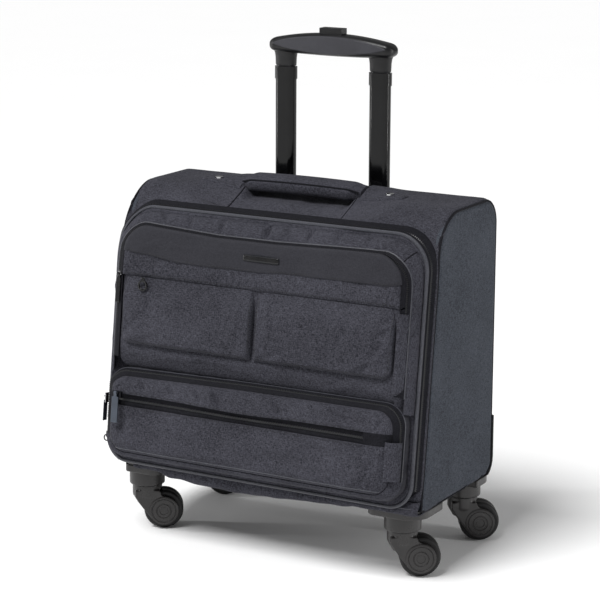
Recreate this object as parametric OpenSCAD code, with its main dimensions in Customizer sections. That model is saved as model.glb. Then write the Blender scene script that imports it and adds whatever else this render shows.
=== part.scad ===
// Rolling laptop case: a soft-sided case on four swivel casters, with a two-stage
// pull handle, a carry handle, a front panel with an organizer and a lower pocket.
// +X is the case's right as seen from the front, -Y is the front, +Z is up.
// The origin is on the floor, midway between the four caster swivel axes.

/* [Case] */
// Overall width of the case
body_w = 430; // [400:1:460]
// Height of the case's flat top above the floor
body_top = 426.5; // [405:0.5:450]
// Height of the case's underside above the floor
body_bottom = 86; // [84:0.5:90]
// Distance from the swivel centre line to the case's back
body_back = 84; // [82:0.5:90]
// Thickness of the padded walls
wall = 4; // [3:0.5:5]
// Corner radius where the front meets the top, seen from the side
r_front_top = 46; // [40:1:50]
// Corner radius where the back meets the top
r_back_top = 34; // [30:1:38]

/* [Front panel] */
// Depth of the front edge at the hinge line of the front panel
hinge_y = -112; // [-116:0.5:-108]
// Height of the hinge line of the front panel
hinge_z = 90; // [88:0.5:92]
// Backward lean of the front, in degrees from vertical
lean = 7.3; // [5:0.1:9]
// Length of the front panel, measured up the lean
panel_h = 308; // [290:1:312]
// Width of the organizer
organizer_w = 390; // [370:1:392]
// Width of the lower pocket
pocket_w = 398; // [380:1:400]

/* [Pull handle] */
// Distance between the two telescopic tubes
tube_gap = 128.8; // [110:0.2:140]
// Width of a wide tube
tube_w = 27; // [22:0.5:28]
// Depth of a wide tube
tube_d = 15; // [14:0.5:16]
// Width of the grip
grip_w = 171; // [150:1:180]
// Height of the grip's underside at its middle
grip_z = 577; // [577:0.5:580]

/* [Casters] */
// Half the distance between the front swivel axes
front_stem_x = 176; // [170:1:182]
// Half the distance between the rear swivel axes
rear_stem_x = 180; // [174:1:184]
// Distance of each swivel axis from the centre line, front and back
stem_y = 76; // [72:1:80]
// Wheel diameter
wheel_d = 48; // [44:1:48]
// Distance from the swivel axis to the axle
trail = 20; // [18:0.5:20]
// Direction in which the wheels trail, in degrees from +X
heading = 33; // [0:1:90]

/* [Hidden] */

$fn = 48;

fabric = [0.22, 0.22, 0.24];
lining = [0.16, 0.16, 0.18];
black = [0.06, 0.06, 0.07];
plastic = [0.12, 0.12, 0.13];
grey = [0.35, 0.35, 0.37];
metal = [0.75, 0.75, 0.77];

clear = 0.3;                        // gap between parts that move past each other
side_x = body_w / 2 - wall;         // inner face of the side panels
r_back_bottom = 20;
r_front_bottom = 6;
tray_top = 94;                      // top edge of the bottom tray's walls
seam_x = 77.6;                      // seam between the top panels, from the middle
seam_y = -67;                       // front edge of the top panels
bezel_front = 54;                   // front edge of the handle bezel
bezel_half = 92;

// ---- outlines -------------------------------------------------------------

// Points of an arc, angles in degrees
function arc(cx, cy, r, from, to, n = 10) =
    [for (i = [0 : n]) let (a = from + (to - from) * i / n) [cx + r * cos(a), cy + r * sin(a)]];

// Depth of the leaning front at a height
function front_at(z) = hinge_y + (z - hinge_z) * tan(lean);

// The case's outline seen from the side, moved inward by t
function case_outline(t) =
    let (zf = body_top - r_front_top, zb = body_bottom + r_front_bottom)
    concat(
        arc(front_at(zf) + r_front_top / cos(lean), zf, r_front_top - t, 180 - lean, 90),
        arc(body_back - r_back_top, body_top - r_back_top, r_back_top - t, 90, 0),
        arc(body_back - r_back_bottom, body_bottom + r_back_bottom, r_back_bottom - t, 0, -90),
        arc(front_at(zb) + r_front_bottom / cos(lean), zb, r_front_bottom - t, 270, 180 - lean, 6));

// A rectangle with its own radius at the top and the bottom corners
function rounded(x0, x1, z0, z1, r_top, r_low) = concat(
    arc(x1 - r_low, z0 + r_low, r_low, -90, 0, 8),
    arc(x1 - r_top, z1 - r_top, r_top, 0, 90, 8),
    arc(x0 + r_top, z1 - r_top, r_top, 90, 180, 8),
    arc(x0 + r_low, z0 + r_low, r_low, 180, 270, 8));

// ---- placing --------------------------------------------------------------

// Extrudes a side-view outline (depth, height) across the case
module across(x0, x1) translate([x0, 0, 0]) rotate([90, 0, 90]) linear_extrude(x1 - x0) children();

// Stands children on the leaning front: Z runs up the front, -Y points out of it
module on_front() translate([0, hinge_y, hinge_z]) rotate([-lean, 0, 0]) children();

// Extrudes a front-view outline outward, from one distance off the front to another
module proud(t0, t1) translate([0, -t0, 0]) rotate([90, 0, 0]) linear_extrude(t1 - t0) children();

module box(x0, x1, y0, y1, z0, z1) translate([x0, y0, z0]) cube([x1 - x0, y1 - y0, z1 - z0]);

// The ring of wall between the case's outline and the same outline moved inward
module wall_band(x0, x1, t = wall) across(x0, x1) difference() {
    polygon(case_outline(0));
    polygon(case_outline(t));
}

// ---- case -----------------------------------------------------------------

module side_panel(side) color(fabric)
    if (side < 0) across(-body_w / 2, -side_x) polygon(case_outline(0));
    else across(side_x, body_w / 2) polygon(case_outline(0));

strap_t = 3;
strap_half = 11;
strap_z = body_top + 0.2;
handle_y = -2;
rivet_x = 116;
rivet_r = 2;

module rivet_holes(z0, z1)
    for (s = [-1, 1]) translate([s * rivet_x, handle_y, z0]) cylinder(r = rivet_r, h = z1 - z0);

module top_band(x0, x1) difference() {
    intersection() {
        wall_band(x0, x1);
        box(x0 - 1, x1 + 1, seam_y, body_back + 1, body_top - r_back_top, body_top + 1);
    }
    box(-bezel_half, bezel_half, bezel_front, body_back + 1, body_top - 40, body_top + 1);
    rivet_holes(body_top - 10, body_top + 1);
}

module top_panel_left() color(fabric) top_band(-side_x, -seam_x);
module top_panel_right() color(fabric) top_band(seam_x, side_x);

// The middle panel dips to make room for fingers under the carry handle
module top_panel_middle() color(fabric) across(-seam_x, seam_x) polygon([
    [-67, 403], [-52, 411], [4, 413], [20, 421], [bezel_front, body_top],
    [bezel_front, body_top - wall], [21, 417], [5, 409], [-51, 407], [-64, 399.8]]);

module back_panel() color(fabric) intersection() {
    wall_band(-side_x, side_x);
    box(-side_x, side_x, 40, body_back + 1, tray_top, body_top - r_back_top);
}

module bottom_tray() color(plastic) intersection() {
    wall_band(-side_x, side_x);
    box(-side_x, side_x, -140, body_back + 1, body_bottom - 1, tray_top);
}

// Stiff rim of the main opening
rim_t = -24;
rim_low = 10;
rim_high = 309.5;
rim_wall = 6;
module front_rim() color(fabric) on_front() difference() {
    proud(rim_t, -clear) polygon(rounded(-side_x, side_x, rim_low, rim_high, 44, 28));
    proud(rim_t - 1, 1) polygon(
        rounded(rim_wall - side_x, side_x - rim_wall, rim_low + 5, rim_high - 5, 38, 23));
}

board_y = 52;
board_t = 2.5;
module back_board() color(plastic)
    box(5 - side_x, side_x - 5, board_y, board_y + board_t, body_bottom + 30, body_top - 22);

// ---- pull handle ----------------------------------------------------------

handle_at = 70;                     // depth of the tube centre line
tube_wall = 1.2;
narrow_w = tube_w - 3;
narrow_d = tube_d - 3;
fit_gap = 0.3;
wide_low = 233;
wide_high = 546;
collar_high = 561;
narrow_low = 285;
socket_low = 102.5;
socket_high = 404;

module oval(w, d) {
    square([w - d, d], center = true);
    for (s = [-1, 1]) translate([s * (w - d) / 2, 0]) circle(d / 2);
}

module on_tubes() for (s = [-1, 1]) translate([s * tube_gap / 2, handle_at, 0]) children();

module oval_tube(w, d, t, z0, z1) translate([0, 0, z0]) linear_extrude(z1 - z0) difference() {
    oval(w, d);
    oval(w - 2 * t, d - 2 * t);
}

module oval_bar(w, d, z0, z1) translate([0, 0, z0]) linear_extrude(z1 - z0) oval(w, d);

socket_gap = 0.4;
socket_t = 1.4;
module guide_tubes() color(plastic) on_tubes() {
    oval_tube(tube_w + 2 * (socket_gap + socket_t), tube_d + 2 * (socket_gap + socket_t),
        socket_t, socket_low, socket_high);
    oval_bar(tube_w + 2 * (socket_gap + socket_t), tube_d + 2 * (socket_gap + socket_t),
        socket_low - 1, socket_low);
}

module handle_bezel() color(black) difference() {
    intersection() {
        across(-bezel_half, bezel_half) polygon(case_outline(0));
        box(-bezel_half, bezel_half, bezel_front, body_back, socket_high, body_top);
    }
    on_tubes() oval_bar(tube_w + 2 * fit_gap, tube_d + 2 * fit_gap, socket_high - 1, body_top + 1);
    box(-bezel_half, bezel_half, bezel_front, body_back - 4, socket_high - 1, socket_high + 4);
}

module wide_tubes() color(black) on_tubes() oval_tube(tube_w, tube_d, tube_wall, wide_low, wide_high);

module wide_tube_fittings() color(plastic) on_tubes() {
    oval_tube(tube_w + 2, tube_d + 2, 2.2, wide_high, collar_high);
    difference() {
        oval_bar(tube_w, tube_d, wide_low - 12, wide_low);
        translate([0, 0, wide_low - 13]) cylinder(r = 3, h = 14);
    }
}

narrow_wall = 1.1;
narrow_high = 580.5;
module narrow_tubes() color(grey) on_tubes()
    oval_tube(narrow_w, narrow_d, narrow_wall, narrow_low, narrow_high);

module narrow_lock_blocks() color(plastic) on_tubes() difference() {
    oval_bar(narrow_w, narrow_d, narrow_low - 12, narrow_low);
    translate([0, 0, narrow_low - 13]) cylinder(r = 2.5, h = 14);
}

grip_d = 28;
grip_h = 27;
grip_end_r = 8.5;
grip_rise = 8;                      // how far the middle arches above the ends
insert_t = 3;
insert_half = 77;
insert_h = 10.5;                     // half the insert's height at its middle
button_w = 30;
button_d = 14;
link_z = 585;                       // underside of the bar that joins the release rods
link_h = 4;
link_d = 6;
cavity_low = 580.5;

function grip_top(x, half) = grip_z + grip_h - grip_rise * pow(x / half, 2);
function grip_low(x, half) = grip_z + 2 * pow(x / half, 2);

// Outline of the grip seen from the front, with round ends
function grip_outline() =
    let (half = grip_w / 2 - grip_end_r, n = 16,
         mid = (grip_top(half, half) + grip_low(half, half)) / 2,
         r_end = (grip_top(half, half) - grip_low(half, half)) / 2)
    concat(
        [for (i = [0 : n]) let (x = -half + 2 * half * i / n) [x, grip_low(x, half)]],
        arc(half, mid, r_end, -70, 70, 8),
        [for (i = [0 : n]) let (x = half - 2 * half * i / n) [x, grip_top(x, half)]],
        arc(-half, mid, r_end, 110, 250, 8));

// Lens shape of the grip's insert, pointed at both ends
function lens_outline() = concat(
    [for (i = [0 : 16]) let (u = i / 8 - 1)
        [u * insert_half, grip_z + 12.5 - insert_h * (1 - u * u)]],
    [for (i = [1 : 15]) let (u = 1 - i / 8)
        [u * insert_half, grip_z + 12.5 + insert_h * (1 - u * u)]]);

module in_grip(y0, y1) translate([0, handle_at + y1, 0]) rotate([90, 0, 0]) linear_extrude(y1 - y0)
    children();

module grip_shell() color(black) difference() {
    union() {
        in_grip(-grip_d / 2, grip_d / 2) polygon(grip_outline());
        on_tubes() oval_bar(narrow_w + 2, narrow_d + 2, collar_high + 1, grip_z + 6);
    }
    on_tubes() oval_bar(narrow_w, narrow_d, collar_high, narrow_high);
    in_grip(-grip_d / 2 - 1, insert_t - grip_d / 2) polygon(lens_outline());
    box(-tube_gap / 2 - 3, tube_gap / 2 + 3, handle_at - link_d / 2 - 1, handle_at + link_d / 2 + 1,
        cavity_low, link_z + link_h + 1);
    box(-button_w / 2 - fit_gap, button_w / 2 + fit_gap, handle_at - button_d / 2 - fit_gap,
        handle_at + button_d / 2 + fit_gap, link_z - 0.5, grip_z + grip_h + 1);
}

module grip_insert() color(grey)
    in_grip(-grip_d / 2 - 0.5, insert_t - grip_d / 2) polygon(lens_outline());

module grip_button() color(plastic)
    box(-button_w / 2, button_w / 2, handle_at - button_d / 2, handle_at + button_d / 2,
        link_z + link_h, grip_z + grip_h + 6.5);

rod_r = 2;
module release_rods() color(metal) {
    box(-tube_gap / 2 - 2.5, tube_gap / 2 + 2.5, handle_at - link_d / 2, handle_at + link_d / 2,
        link_z, link_z + link_h);
    on_tubes() translate([0, 0, narrow_low + 4]) cylinder(r = rod_r, h = link_z - narrow_low - 4);
}

module button_spring() color(metal) translate([0, handle_at, cavity_low]) difference() {
    cylinder(r = 3, h = link_z - cavity_low);
    translate([0, 0, -1]) cylinder(r = 2.2, h = link_z - cavity_low + 2);
}

// ---- carry handle ---------------------------------------------------------

handle_low = 421;
handle_h = 19;
handle_d = 24;
module carry_handle() color(fabric) difference() {
    union() {
        across(-seam_x, seam_x) translate([handle_y, handle_low + handle_h / 2])
            oval(handle_d, handle_h);
        for (s = [-1, 1]) translate([s * (seam_x + 24), handle_y, strap_z + strap_t / 2])
            cube([48, 2 * strap_half, strap_t], center = true);
    }
    rivet_holes(strap_z - 1, strap_z + strap_t + 1);
}

module handle_rivets() color(metal) {
    rivet_holes(body_top - 6, strap_z + strap_t);
    for (s = [-1, 1]) translate([s * rivet_x, handle_y, strap_z + strap_t])
        cylinder(r = 5, h = 1.6);
}

// ---- corner guards and sleeve ---------------------------------------------

// Guards on the back's lower corners, curved in under the case
guard_t = 2.5;
guard_low = body_bottom;
guard_high = 158;
guard_w = 26;
module corner_guards() color(plastic) for (s = [0, 1]) mirror([s, 0, 0]) intersection() {
    across(body_w / 2 - guard_w, body_w / 2) difference() {
        polygon(case_outline(-guard_t));
        polygon(case_outline(0));
    }
    box(body_w / 2 - guard_w - 1, body_w / 2 + 1, body_back - 20, body_back + 5, guard_low, guard_high);
}

sleeve_half = 180;
sleeve_low = 102;
sleeve_high = 350;
sleeve_back = 49;
sleeve_gap = 30;
sleeve_t = 5;
module laptop_sleeve() color(lining) difference() {
    box(-sleeve_half, sleeve_half, sleeve_back - sleeve_gap - 2 * sleeve_t, sleeve_back,
        sleeve_low, sleeve_high);
    box(sleeve_t - sleeve_half, sleeve_half - sleeve_t, sleeve_back - sleeve_gap - sleeve_t,
        sleeve_back - sleeve_t, sleeve_low + sleeve_t, sleeve_high + 1);
}

// ---- front panel ----------------------------------------------------------
// Distances t are measured out of the leaning front, heights s up it.

panel_t0 = 4;
panel_t1 = 8;
pouch_t = 21;                       // front edge of the organizer's side gusset
face_t = 25;                        // front face of the organizer
fold_s = 232;                       // fold line of the organizer cover
cover_t = 30;
pocket_back_t = 25.3;
lid_s = 52;                         // fold line of the lower pocket's lid
pocket_low = 14;
pocket_high = 122;
pocket_t = 42;                      // front face of the lower pocket
organizer_low = 10;
organizer_high = 300;

module front_panel() color(fabric) on_front()
    proud(panel_t0, panel_t1) polygon(rounded(-204.5, 204.5, 5, 5 + panel_h, 42, 28));

module organizer_pouch() color(fabric) on_front() {
    difference() {
        proud(panel_t1, pouch_t) polygon(
            rounded(-organizer_w / 2, organizer_w / 2, organizer_low, organizer_high, 36, 22));
        proud(panel_t1 - 1, pouch_t + 1) polygon(
            rounded(wall - organizer_w / 2, organizer_w / 2 - wall, organizer_low + wall,
                organizer_high - wall, 32, 18));
    }
    proud(pouch_t, face_t) polygon(
        rounded(-186, 186, organizer_low, fold_s - 1, 2, 20));
}

module organizer_cover() color(fabric) on_front() {
    proud(cover_t - 4, cover_t) polygon(rounded(-186, 186, fold_s, organizer_high - 3, 33, 1));
    difference() {
        proud(pouch_t + clear, cover_t - 4) polygon(
            rounded(-186, 186, fold_s, organizer_high - 3, 33, 1));
        proud(pouch_t - 1, cover_t) polygon(
            rounded(-182, 182, fold_s - 5, organizer_high - 7, 29, 1));
    }
}

module pleated_pocket(x0, x1) color(fabric) on_front()
    proud(face_t, face_t + 7) polygon(rounded(x0, x1, 152, fold_s - 4, 2, 14));

// The pocket's back and gusset are one sewn tub; its front opens above the lid's fold
module lower_pocket() color(fabric) on_front() {
    proud(pocket_back_t, pocket_back_t + 1.5) polygon(
        rounded(-pocket_w / 2, pocket_w / 2, pocket_low, pocket_high, 22, 24));
    difference() {
        proud(pocket_back_t + 1.5, pocket_t - 4) polygon(
            rounded(-pocket_w / 2, pocket_w / 2, pocket_low, pocket_high, 22, 24));
        proud(pocket_back_t, pocket_t) polygon(
            rounded(4 - pocket_w / 2, pocket_w / 2 - 4, pocket_low + 4, pocket_high - 4, 18, 20));
        proud(pocket_t - 7, pocket_t) translate([-250, lid_s - 1]) square([500, 100]);
    }
    proud(pocket_t - 4, pocket_t) polygon(
        rounded(-pocket_w / 2, pocket_w / 2, pocket_low, lid_s - 1, 1, 24));
}

module pocket_lid() color(fabric) on_front() {
    proud(pocket_t - 3.5, pocket_t) polygon(
        rounded(-pocket_w / 2, pocket_w / 2, lid_s, pocket_high, 22, 1));
    difference() {
        proud(pocket_t - 6.7, pocket_t - 3.5) polygon(
            rounded(-pocket_w / 2, pocket_w / 2, lid_s, pocket_high, 22, 1));
        proud(pocket_t - 8, pocket_t) polygon(
            rounded(4 - pocket_w / 2, pocket_w / 2 - 4, lid_s - 5, pocket_high - 4, 18, 1));
    }
}

// ---- zip sliders and pullers ----------------------------------------------

bar_r = 0.8;
bar_out = 6;                        // how far the slider's bar stands off the zip
bar_up = 2;
slider_w = 7;
slider_h = 12;

// A slider that faces -Y, w across and h high, with a bar that its puller hangs on
module zip_slider(w = slider_w, h = slider_h) color(metal) {
    box(-w / 2, w / 2, -4, 0, -h / 2, h / 2);
    for (s = [-1, 1]) box(s * 3 - 0.5, s * 3 + 0.5, -bar_out - 1, -4, bar_up - 1, bar_up + 1);
    translate([-2.5, -bar_out, bar_up]) rotate([0, 90, 0]) cylinder(r = bar_r, h = 5);
}

// A flat puller with an eye on the slider's bar, hanging down
module zip_puller(length, width) color(grey) translate([0, -bar_out, bar_up]) difference() {
    union() {
        rotate([0, 90, 0]) cylinder(r = 2, h = 4, center = true);
        box(-2, 2, -1, 1, -6, 0);
        box(-width / 2, width / 2, -1, 1, -length, -5);
    }
    rotate([0, 90, 0]) cylinder(r = bar_r + 0.1, h = 6, center = true);
}

organizer_zip_x = -190.8;
organizer_zip_s = 229;
module at_organizer_zip() on_front() translate([organizer_zip_x, -pouch_t - clear, organizer_zip_s])
    children();

lower_zip_s = 80;
lower_zip_t = 25;
module at_lower_zip() on_front() translate([-pocket_w / 2 - clear, -lower_zip_t, lower_zip_s])
    rotate([0, 0, -90]) children();

slip_zip_x = -172;
slip_zip_s = 90;
module at_slip_zip() on_front() translate([slip_zip_x, -pocket_t - clear, slip_zip_s]) children();

main_zip_x = -212.5;
main_zip_s = 14;
module main_zip_pull() color(metal) on_front() translate([main_zip_x, -clear, main_zip_s]) {
    box(-3.4, 3.4, -3.4, 0, -6, 6);
    box(-1.2, 1.2, -6, -3.4, -2, 2);
    translate([0, -5, -6.8]) rotate([90, 0, 0]) difference() {
        cylinder(r = 7, h = 2, center = true);
        cylinder(r = 4.8, h = 3, center = true);
    }
}

ring_x = -152;
ring_s = 229.5;
ring_t = face_t + 9;
module flap_ring_pull() color(metal) on_front() translate([ring_x, -ring_t, ring_s]) {
    box(-2.5, 2.5, -1, 1, -3, 1.5);
    translate([0, 0, -8]) rotate([90, 0, 0]) difference() {
        cylinder(r = 6.5, h = 2, center = true);
        cylinder(r = 4.3, h = 3, center = true);
    }
}

// ---- casters --------------------------------------------------------------

wheel_r = wheel_d / 2;
wheel_half = 11.5;
hub_r = 16.5;
axle_r = 4;
axle_half = 15.5;
stem_r = 5;
run_gap = 0.05;                     // running clearance of a shaft in its bore
neck_r = 18.2;
neck_low = 42;
neck_top = 56.2;
cup_r = 21.7;
cup_low = 56.6;
flange_low = 76;
flange_top = body_bottom - 0.2;
cheek_in = wheel_half + 0.8;
cheek_out = 17;
cheek_r = 18;
stem_low = 46;
stem_high = 74;

module at_stem(side, end) translate([side * (end < 0 ? front_stem_x : rear_stem_x), end * stem_y, 0])
    children();

// Local +X is the trailing direction, the axle runs along local Y
module at_caster(side, end) at_stem(side, end) rotate([0, 0, heading]) children();
module at_axle() translate([trail, 0, wheel_r]) rotate([90, 0, 0]) children();

module housing(side, end) color(plastic) difference() {
    union() {
        at_stem(side, end) translate([0, 0, cup_low]) cylinder(r = cup_r, h = flange_top - cup_low);
        translate([0, 0, flange_low]) linear_extrude(flange_top - flange_low)
            mirror([side < 0 ? 1 : 0, 0, 0]) mirror([0, end > 0 ? 1 : 0, 0]) flange_outline(end);
    }
    at_stem(side, end) cylinder(r = stem_r + run_gap, h = stem_high + 1);
}

// The front right corner's flange; the other corners mirror it
module flange_outline(end) {
    stem_x = end < 0 ? front_stem_x : rear_stem_x;
    front = end < 0 ? 107 : 94;
    polygon(concat(
        arc(213 - 26, 26 - front, 26, 0, -90),
        arc(stem_x - 34 + 12, 12 - front, 12, 270, 180, 6),
        [[stem_x - 34, 30 - stem_y], [213, 30 - stem_y]]));
}

module fork(side, end) color(plastic) at_caster(side, end) difference() {
    union() {
        translate([0, 0, neck_low]) cylinder(r = neck_r, h = neck_top - neck_low);
        translate([0, 0, 30]) cylinder(r1 = 11.5, r2 = neck_r, h = neck_low - 30);
        rotate([90, 0, 0]) linear_extrude(2 * cheek_out, center = true) {
            translate([trail, wheel_r]) circle(cheek_r);
            polygon([[-15, neck_top - 6], [-15, 42], [-9, 32], [5, 13.5], [33, 33], [25, 39.5],
                [17, 44.5], [15, neck_top - 6]]);
        }
    }
    rotate([90, 0, 0]) linear_extrude(2 * cheek_in, center = true)
        translate([trail, wheel_r]) circle(wheel_r + 1.2);
    translate([0, 0, stem_low]) cylinder(r = stem_r, h = neck_top);
    at_axle() cylinder(r = axle_r, h = 2 * axle_half, center = true);
}

module pins(side, end) color(metal) at_caster(side, end) {
    translate([0, 0, stem_low]) cylinder(r = stem_r, h = stem_high - stem_low);
    at_axle() cylinder(r = axle_r, h = 2 * axle_half, center = true);
}

module hub(side, end) color(plastic) at_caster(side, end) at_axle() difference() {
    cylinder(r = hub_r, h = 2 * wheel_half - 1, center = true);
    cylinder(r = axle_r + run_gap, h = 2 * wheel_half + 1, center = true);
}

shoulder = 3.5;
module tyre(side, end) color(black) at_caster(side, end) at_axle() rotate_extrude() polygon(concat(
    [[hub_r, -wheel_half]],
    arc(wheel_r - shoulder, shoulder - wheel_half, shoulder, -90, 0, 6),
    arc(wheel_r - shoulder, wheel_half - shoulder, shoulder, 0, 90, 6),
    [[hub_r, wheel_half]]));

// ---- nodes ----------------------------------------------------------------

side_panel(-1);  // side_panel_left
side_panel(1);  // side_panel_right
top_panel_left();
top_panel_middle();
top_panel_right();
back_panel();
bottom_tray();
front_rim();
back_board();
guide_tubes();
handle_bezel();
carry_handle();
handle_rivets();
corner_guards();
laptop_sleeve();
wide_tubes();
wide_tube_fittings();
narrow_tubes();
narrow_lock_blocks();
grip_shell();
grip_insert();
grip_button();
release_rods();
button_spring();
front_panel();
organizer_pouch();
pleated_pocket(-180, -12);  // pleated_pocket_left
pleated_pocket(-8, 180);  // pleated_pocket_right
lower_pocket();
organizer_cover();
pocket_lid();
at_organizer_zip() zip_slider();  // organizer_zip_slider
at_organizer_zip() zip_puller(34, 6);  // organizer_zip_puller
at_lower_zip() zip_slider();  // lower_zip_slider
at_lower_zip() zip_puller(30, 8);  // lower_zip_puller
at_slip_zip() zip_slider(slider_h, slider_w);  // slip_zip_slider
at_slip_zip() zip_puller(36, 9);  // slip_zip_puller
main_zip_pull();
flap_ring_pull();
housing(-1, -1);  // front_left_housing
fork(-1, -1);  // front_left_fork
pins(-1, -1);  // front_left_pins
hub(-1, -1);  // front_left_hub
tyre(-1, -1);  // front_left_tyre
housing(1, -1);  // front_right_housing
fork(1, -1);  // front_right_fork
pins(1, -1);  // front_right_pins
hub(1, -1);  // front_right_hub
tyre(1, -1);  // front_right_tyre
housing(-1, 1);  // rear_left_housing
fork(-1, 1);  // rear_left_fork
pins(-1, 1);  // rear_left_pins
hub(-1, 1);  // rear_left_hub
tyre(-1, 1);  // rear_left_tyre
housing(1, 1);  // rear_right_housing
fork(1, 1);  // rear_right_fork
pins(1, 1);  // rear_right_pins
hub(1, 1);  // rear_right_hub
tyre(1, 1);  // rear_right_tyre
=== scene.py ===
"""Looks of the rolling laptop case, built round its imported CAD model.

Lengths are in millimetres until a piece is made, in the frame of the CAD: +X right, -Y the front, +Z up.
Pieces on the leaning front use x across, s up the lean and t out of it, as the CAD source does.
"""
import math

import bmesh
import bpy
import numpy as np
from mathutils import Matrix, Vector


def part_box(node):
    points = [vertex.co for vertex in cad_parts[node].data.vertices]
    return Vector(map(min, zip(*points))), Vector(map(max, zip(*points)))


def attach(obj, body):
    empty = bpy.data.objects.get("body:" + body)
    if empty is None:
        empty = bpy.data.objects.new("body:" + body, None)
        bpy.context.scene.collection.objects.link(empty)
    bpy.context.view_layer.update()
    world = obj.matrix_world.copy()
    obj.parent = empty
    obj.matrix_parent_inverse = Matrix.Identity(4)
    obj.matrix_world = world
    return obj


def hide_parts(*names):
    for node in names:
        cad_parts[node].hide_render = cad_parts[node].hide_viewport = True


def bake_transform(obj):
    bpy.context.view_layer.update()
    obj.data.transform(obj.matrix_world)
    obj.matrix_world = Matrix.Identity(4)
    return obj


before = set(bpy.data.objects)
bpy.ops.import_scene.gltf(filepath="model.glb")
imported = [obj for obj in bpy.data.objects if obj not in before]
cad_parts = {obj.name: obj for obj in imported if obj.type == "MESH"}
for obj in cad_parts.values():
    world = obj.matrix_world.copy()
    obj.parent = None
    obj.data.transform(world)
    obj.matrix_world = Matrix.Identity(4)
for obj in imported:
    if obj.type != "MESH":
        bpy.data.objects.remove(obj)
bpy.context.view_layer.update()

MM = 0.001
LEAN = math.radians(7.3)
HINGE_Y, HINGE_Z = -112.0, 90.0

# ---- shape helpers ----------------------------------------------------------


def front(x, s, t):
    """Points on the leaning front."""
    x, s, t = np.broadcast_arrays(*(np.asarray(v, float) for v in (x, s, t)))
    return np.stack([x, HINGE_Y - t * math.cos(LEAN) + s * math.sin(LEAN),
                     HINGE_Z + t * math.sin(LEAN) + s * math.cos(LEAN)], -1)


def unit(v):
    return v / np.maximum(np.linalg.norm(v, axis=-1, keepdims=True), 1e-9)


def step(x, a, b):
    """0 before a, 1 after b, smooth between."""
    u = np.clip((np.asarray(x, float) - a) / (b - a), 0, 1)
    return u * u * (3 - 2 * u)


def lift(d, r):
    """Quarter circle: 0 at an edge, 1 at distance r in from it."""
    return np.sqrt(1 - (1 - np.clip(d / r, 0, 1)) ** 2)


def ripple(seed, length, *coords, count=9):
    """Smooth random field of about -1 to 1, with that wavelength."""
    p = np.stack(np.broadcast_arrays(*(np.asarray(c, float) for c in coords)), -1)
    rng = np.random.default_rng(seed)
    heading = unit(rng.normal(size=(count, p.shape[-1])))
    k = 2 * np.pi / (length * rng.uniform(0.7, 1.5, count))
    phase = rng.uniform(0, 2 * np.pi, count)
    return np.sin(p @ (heading.T * k) + phase).sum(-1) * math.sqrt(1.4 / count)


def folds(x, s, rows):
    """Sum of folds, each (x, s, heading in degrees, half length, half width, height)."""
    total = np.zeros(np.broadcast(x, s).shape)
    for fx, fs, heading, half, width, height in rows:
        a = math.radians(heading)
        along = (x - fx) * math.cos(a) + (s - fs) * math.sin(a)
        off = (s - fs) * math.cos(a) - (x - fx) * math.sin(a)
        total += height * np.exp(-(off / width) ** 2 - (along / half) ** 4)
    return total


def arc(cx, cy, r, start, end, n):
    a = np.radians(np.linspace(start, end, n))
    return np.stack([cx + r * np.cos(a), cy + r * np.sin(a)], -1)


def line(a, b, n):
    """Points from a to b without the ends."""
    return np.linspace(a, b, n + 2)[1:-1]


def run_along(path):
    """Distance travelled along a path at each of its points."""
    return np.concatenate([[0], np.cumsum(np.linalg.norm(np.diff(path, axis=0), axis=1))])


def loop(x0, x1, s0, s1, r_top, r_low):
    """Rounded rectangle from the middle of its bottom round by +X; every loop has the same point counts."""
    mid = (x0 + x1) / 2
    corners = [arc(x1 - r_low, s0 + r_low, r_low, -90, 0, 20), arc(x1 - r_top, s1 - r_top, r_top, 0, 90, 26),
               arc(x0 + r_top, s1 - r_top, r_top, 90, 180, 26), arc(x0 + r_low, s0 + r_low, r_low, 180, 270, 20)]
    ends = [np.array([mid, s0])] + corners + [np.array([mid, s0])]
    counts = (60, 90, 190, 90, 60)
    parts = []
    for i, n in enumerate(counts):
        a = ends[i] if ends[i].ndim == 1 else ends[i][-1]
        b = ends[i + 1] if ends[i + 1].ndim == 1 else ends[i + 1][0]
        parts.append(line(a, b, n))
        if i < 4:
            parts.append(corners[i])
    return np.concatenate(parts)


def spans(s, x0, x1, s0, s1, r_top, r_low):
    """Left and right edge of a rounded rectangle at height s."""
    def cut(gap, r):
        g = np.clip(r - gap, 0, r)
        return r - np.sqrt(np.maximum(r * r - g * g, 0))
    inset = np.maximum(cut(s1 - s, r_top), cut(s - s0, r_low))
    return x0 + inset, x1 - inset


def inside(x, s, x0, x1, s0, s1, r_top, r_low):
    """Distance in from the edge of a rounded rectangle."""
    r = np.where(s > (s0 + s1) / 2, r_top, r_low)
    qx = np.abs(x - (x0 + x1) / 2) - ((x1 - x0) / 2 - r)
    qs = np.abs(s - (s0 + s1) / 2) - ((s1 - s0) / 2 - r)
    return r - np.hypot(np.maximum(qx, 0), np.maximum(qs, 0)) - np.minimum(np.maximum(qx, qs), 0)


def spread(n, ends=0.6):
    """0 to 1 in n steps, closer together near both ends."""
    u = np.linspace(0, 1, n)
    return (1 - ends) * u + ends * (1 - np.cos(np.pi * u)) / 2


def patch(outline, low=None, high=None, pitch=2.5):
    """Grid over a rounded rectangle, or over its part between two heights: x, s and distance in."""
    x0, x1, s0, s1, _, _ = outline
    low, high = s0 if low is None else low, s1 if high is None else high
    rows = spread(int((high - low) / pitch) + 8, 0.85 if low == s0 or high == s1 else 0.4)
    s = low + (high - low) * rows
    a, b = spans(s, *outline)
    u = spread(int((x1 - x0) / pitch) + 8, 0.5)
    x = a[:, None] + (b - a)[:, None] * u
    s = np.repeat(s[:, None], len(u), 1)
    return x, s, inside(x, s, *outline)


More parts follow.
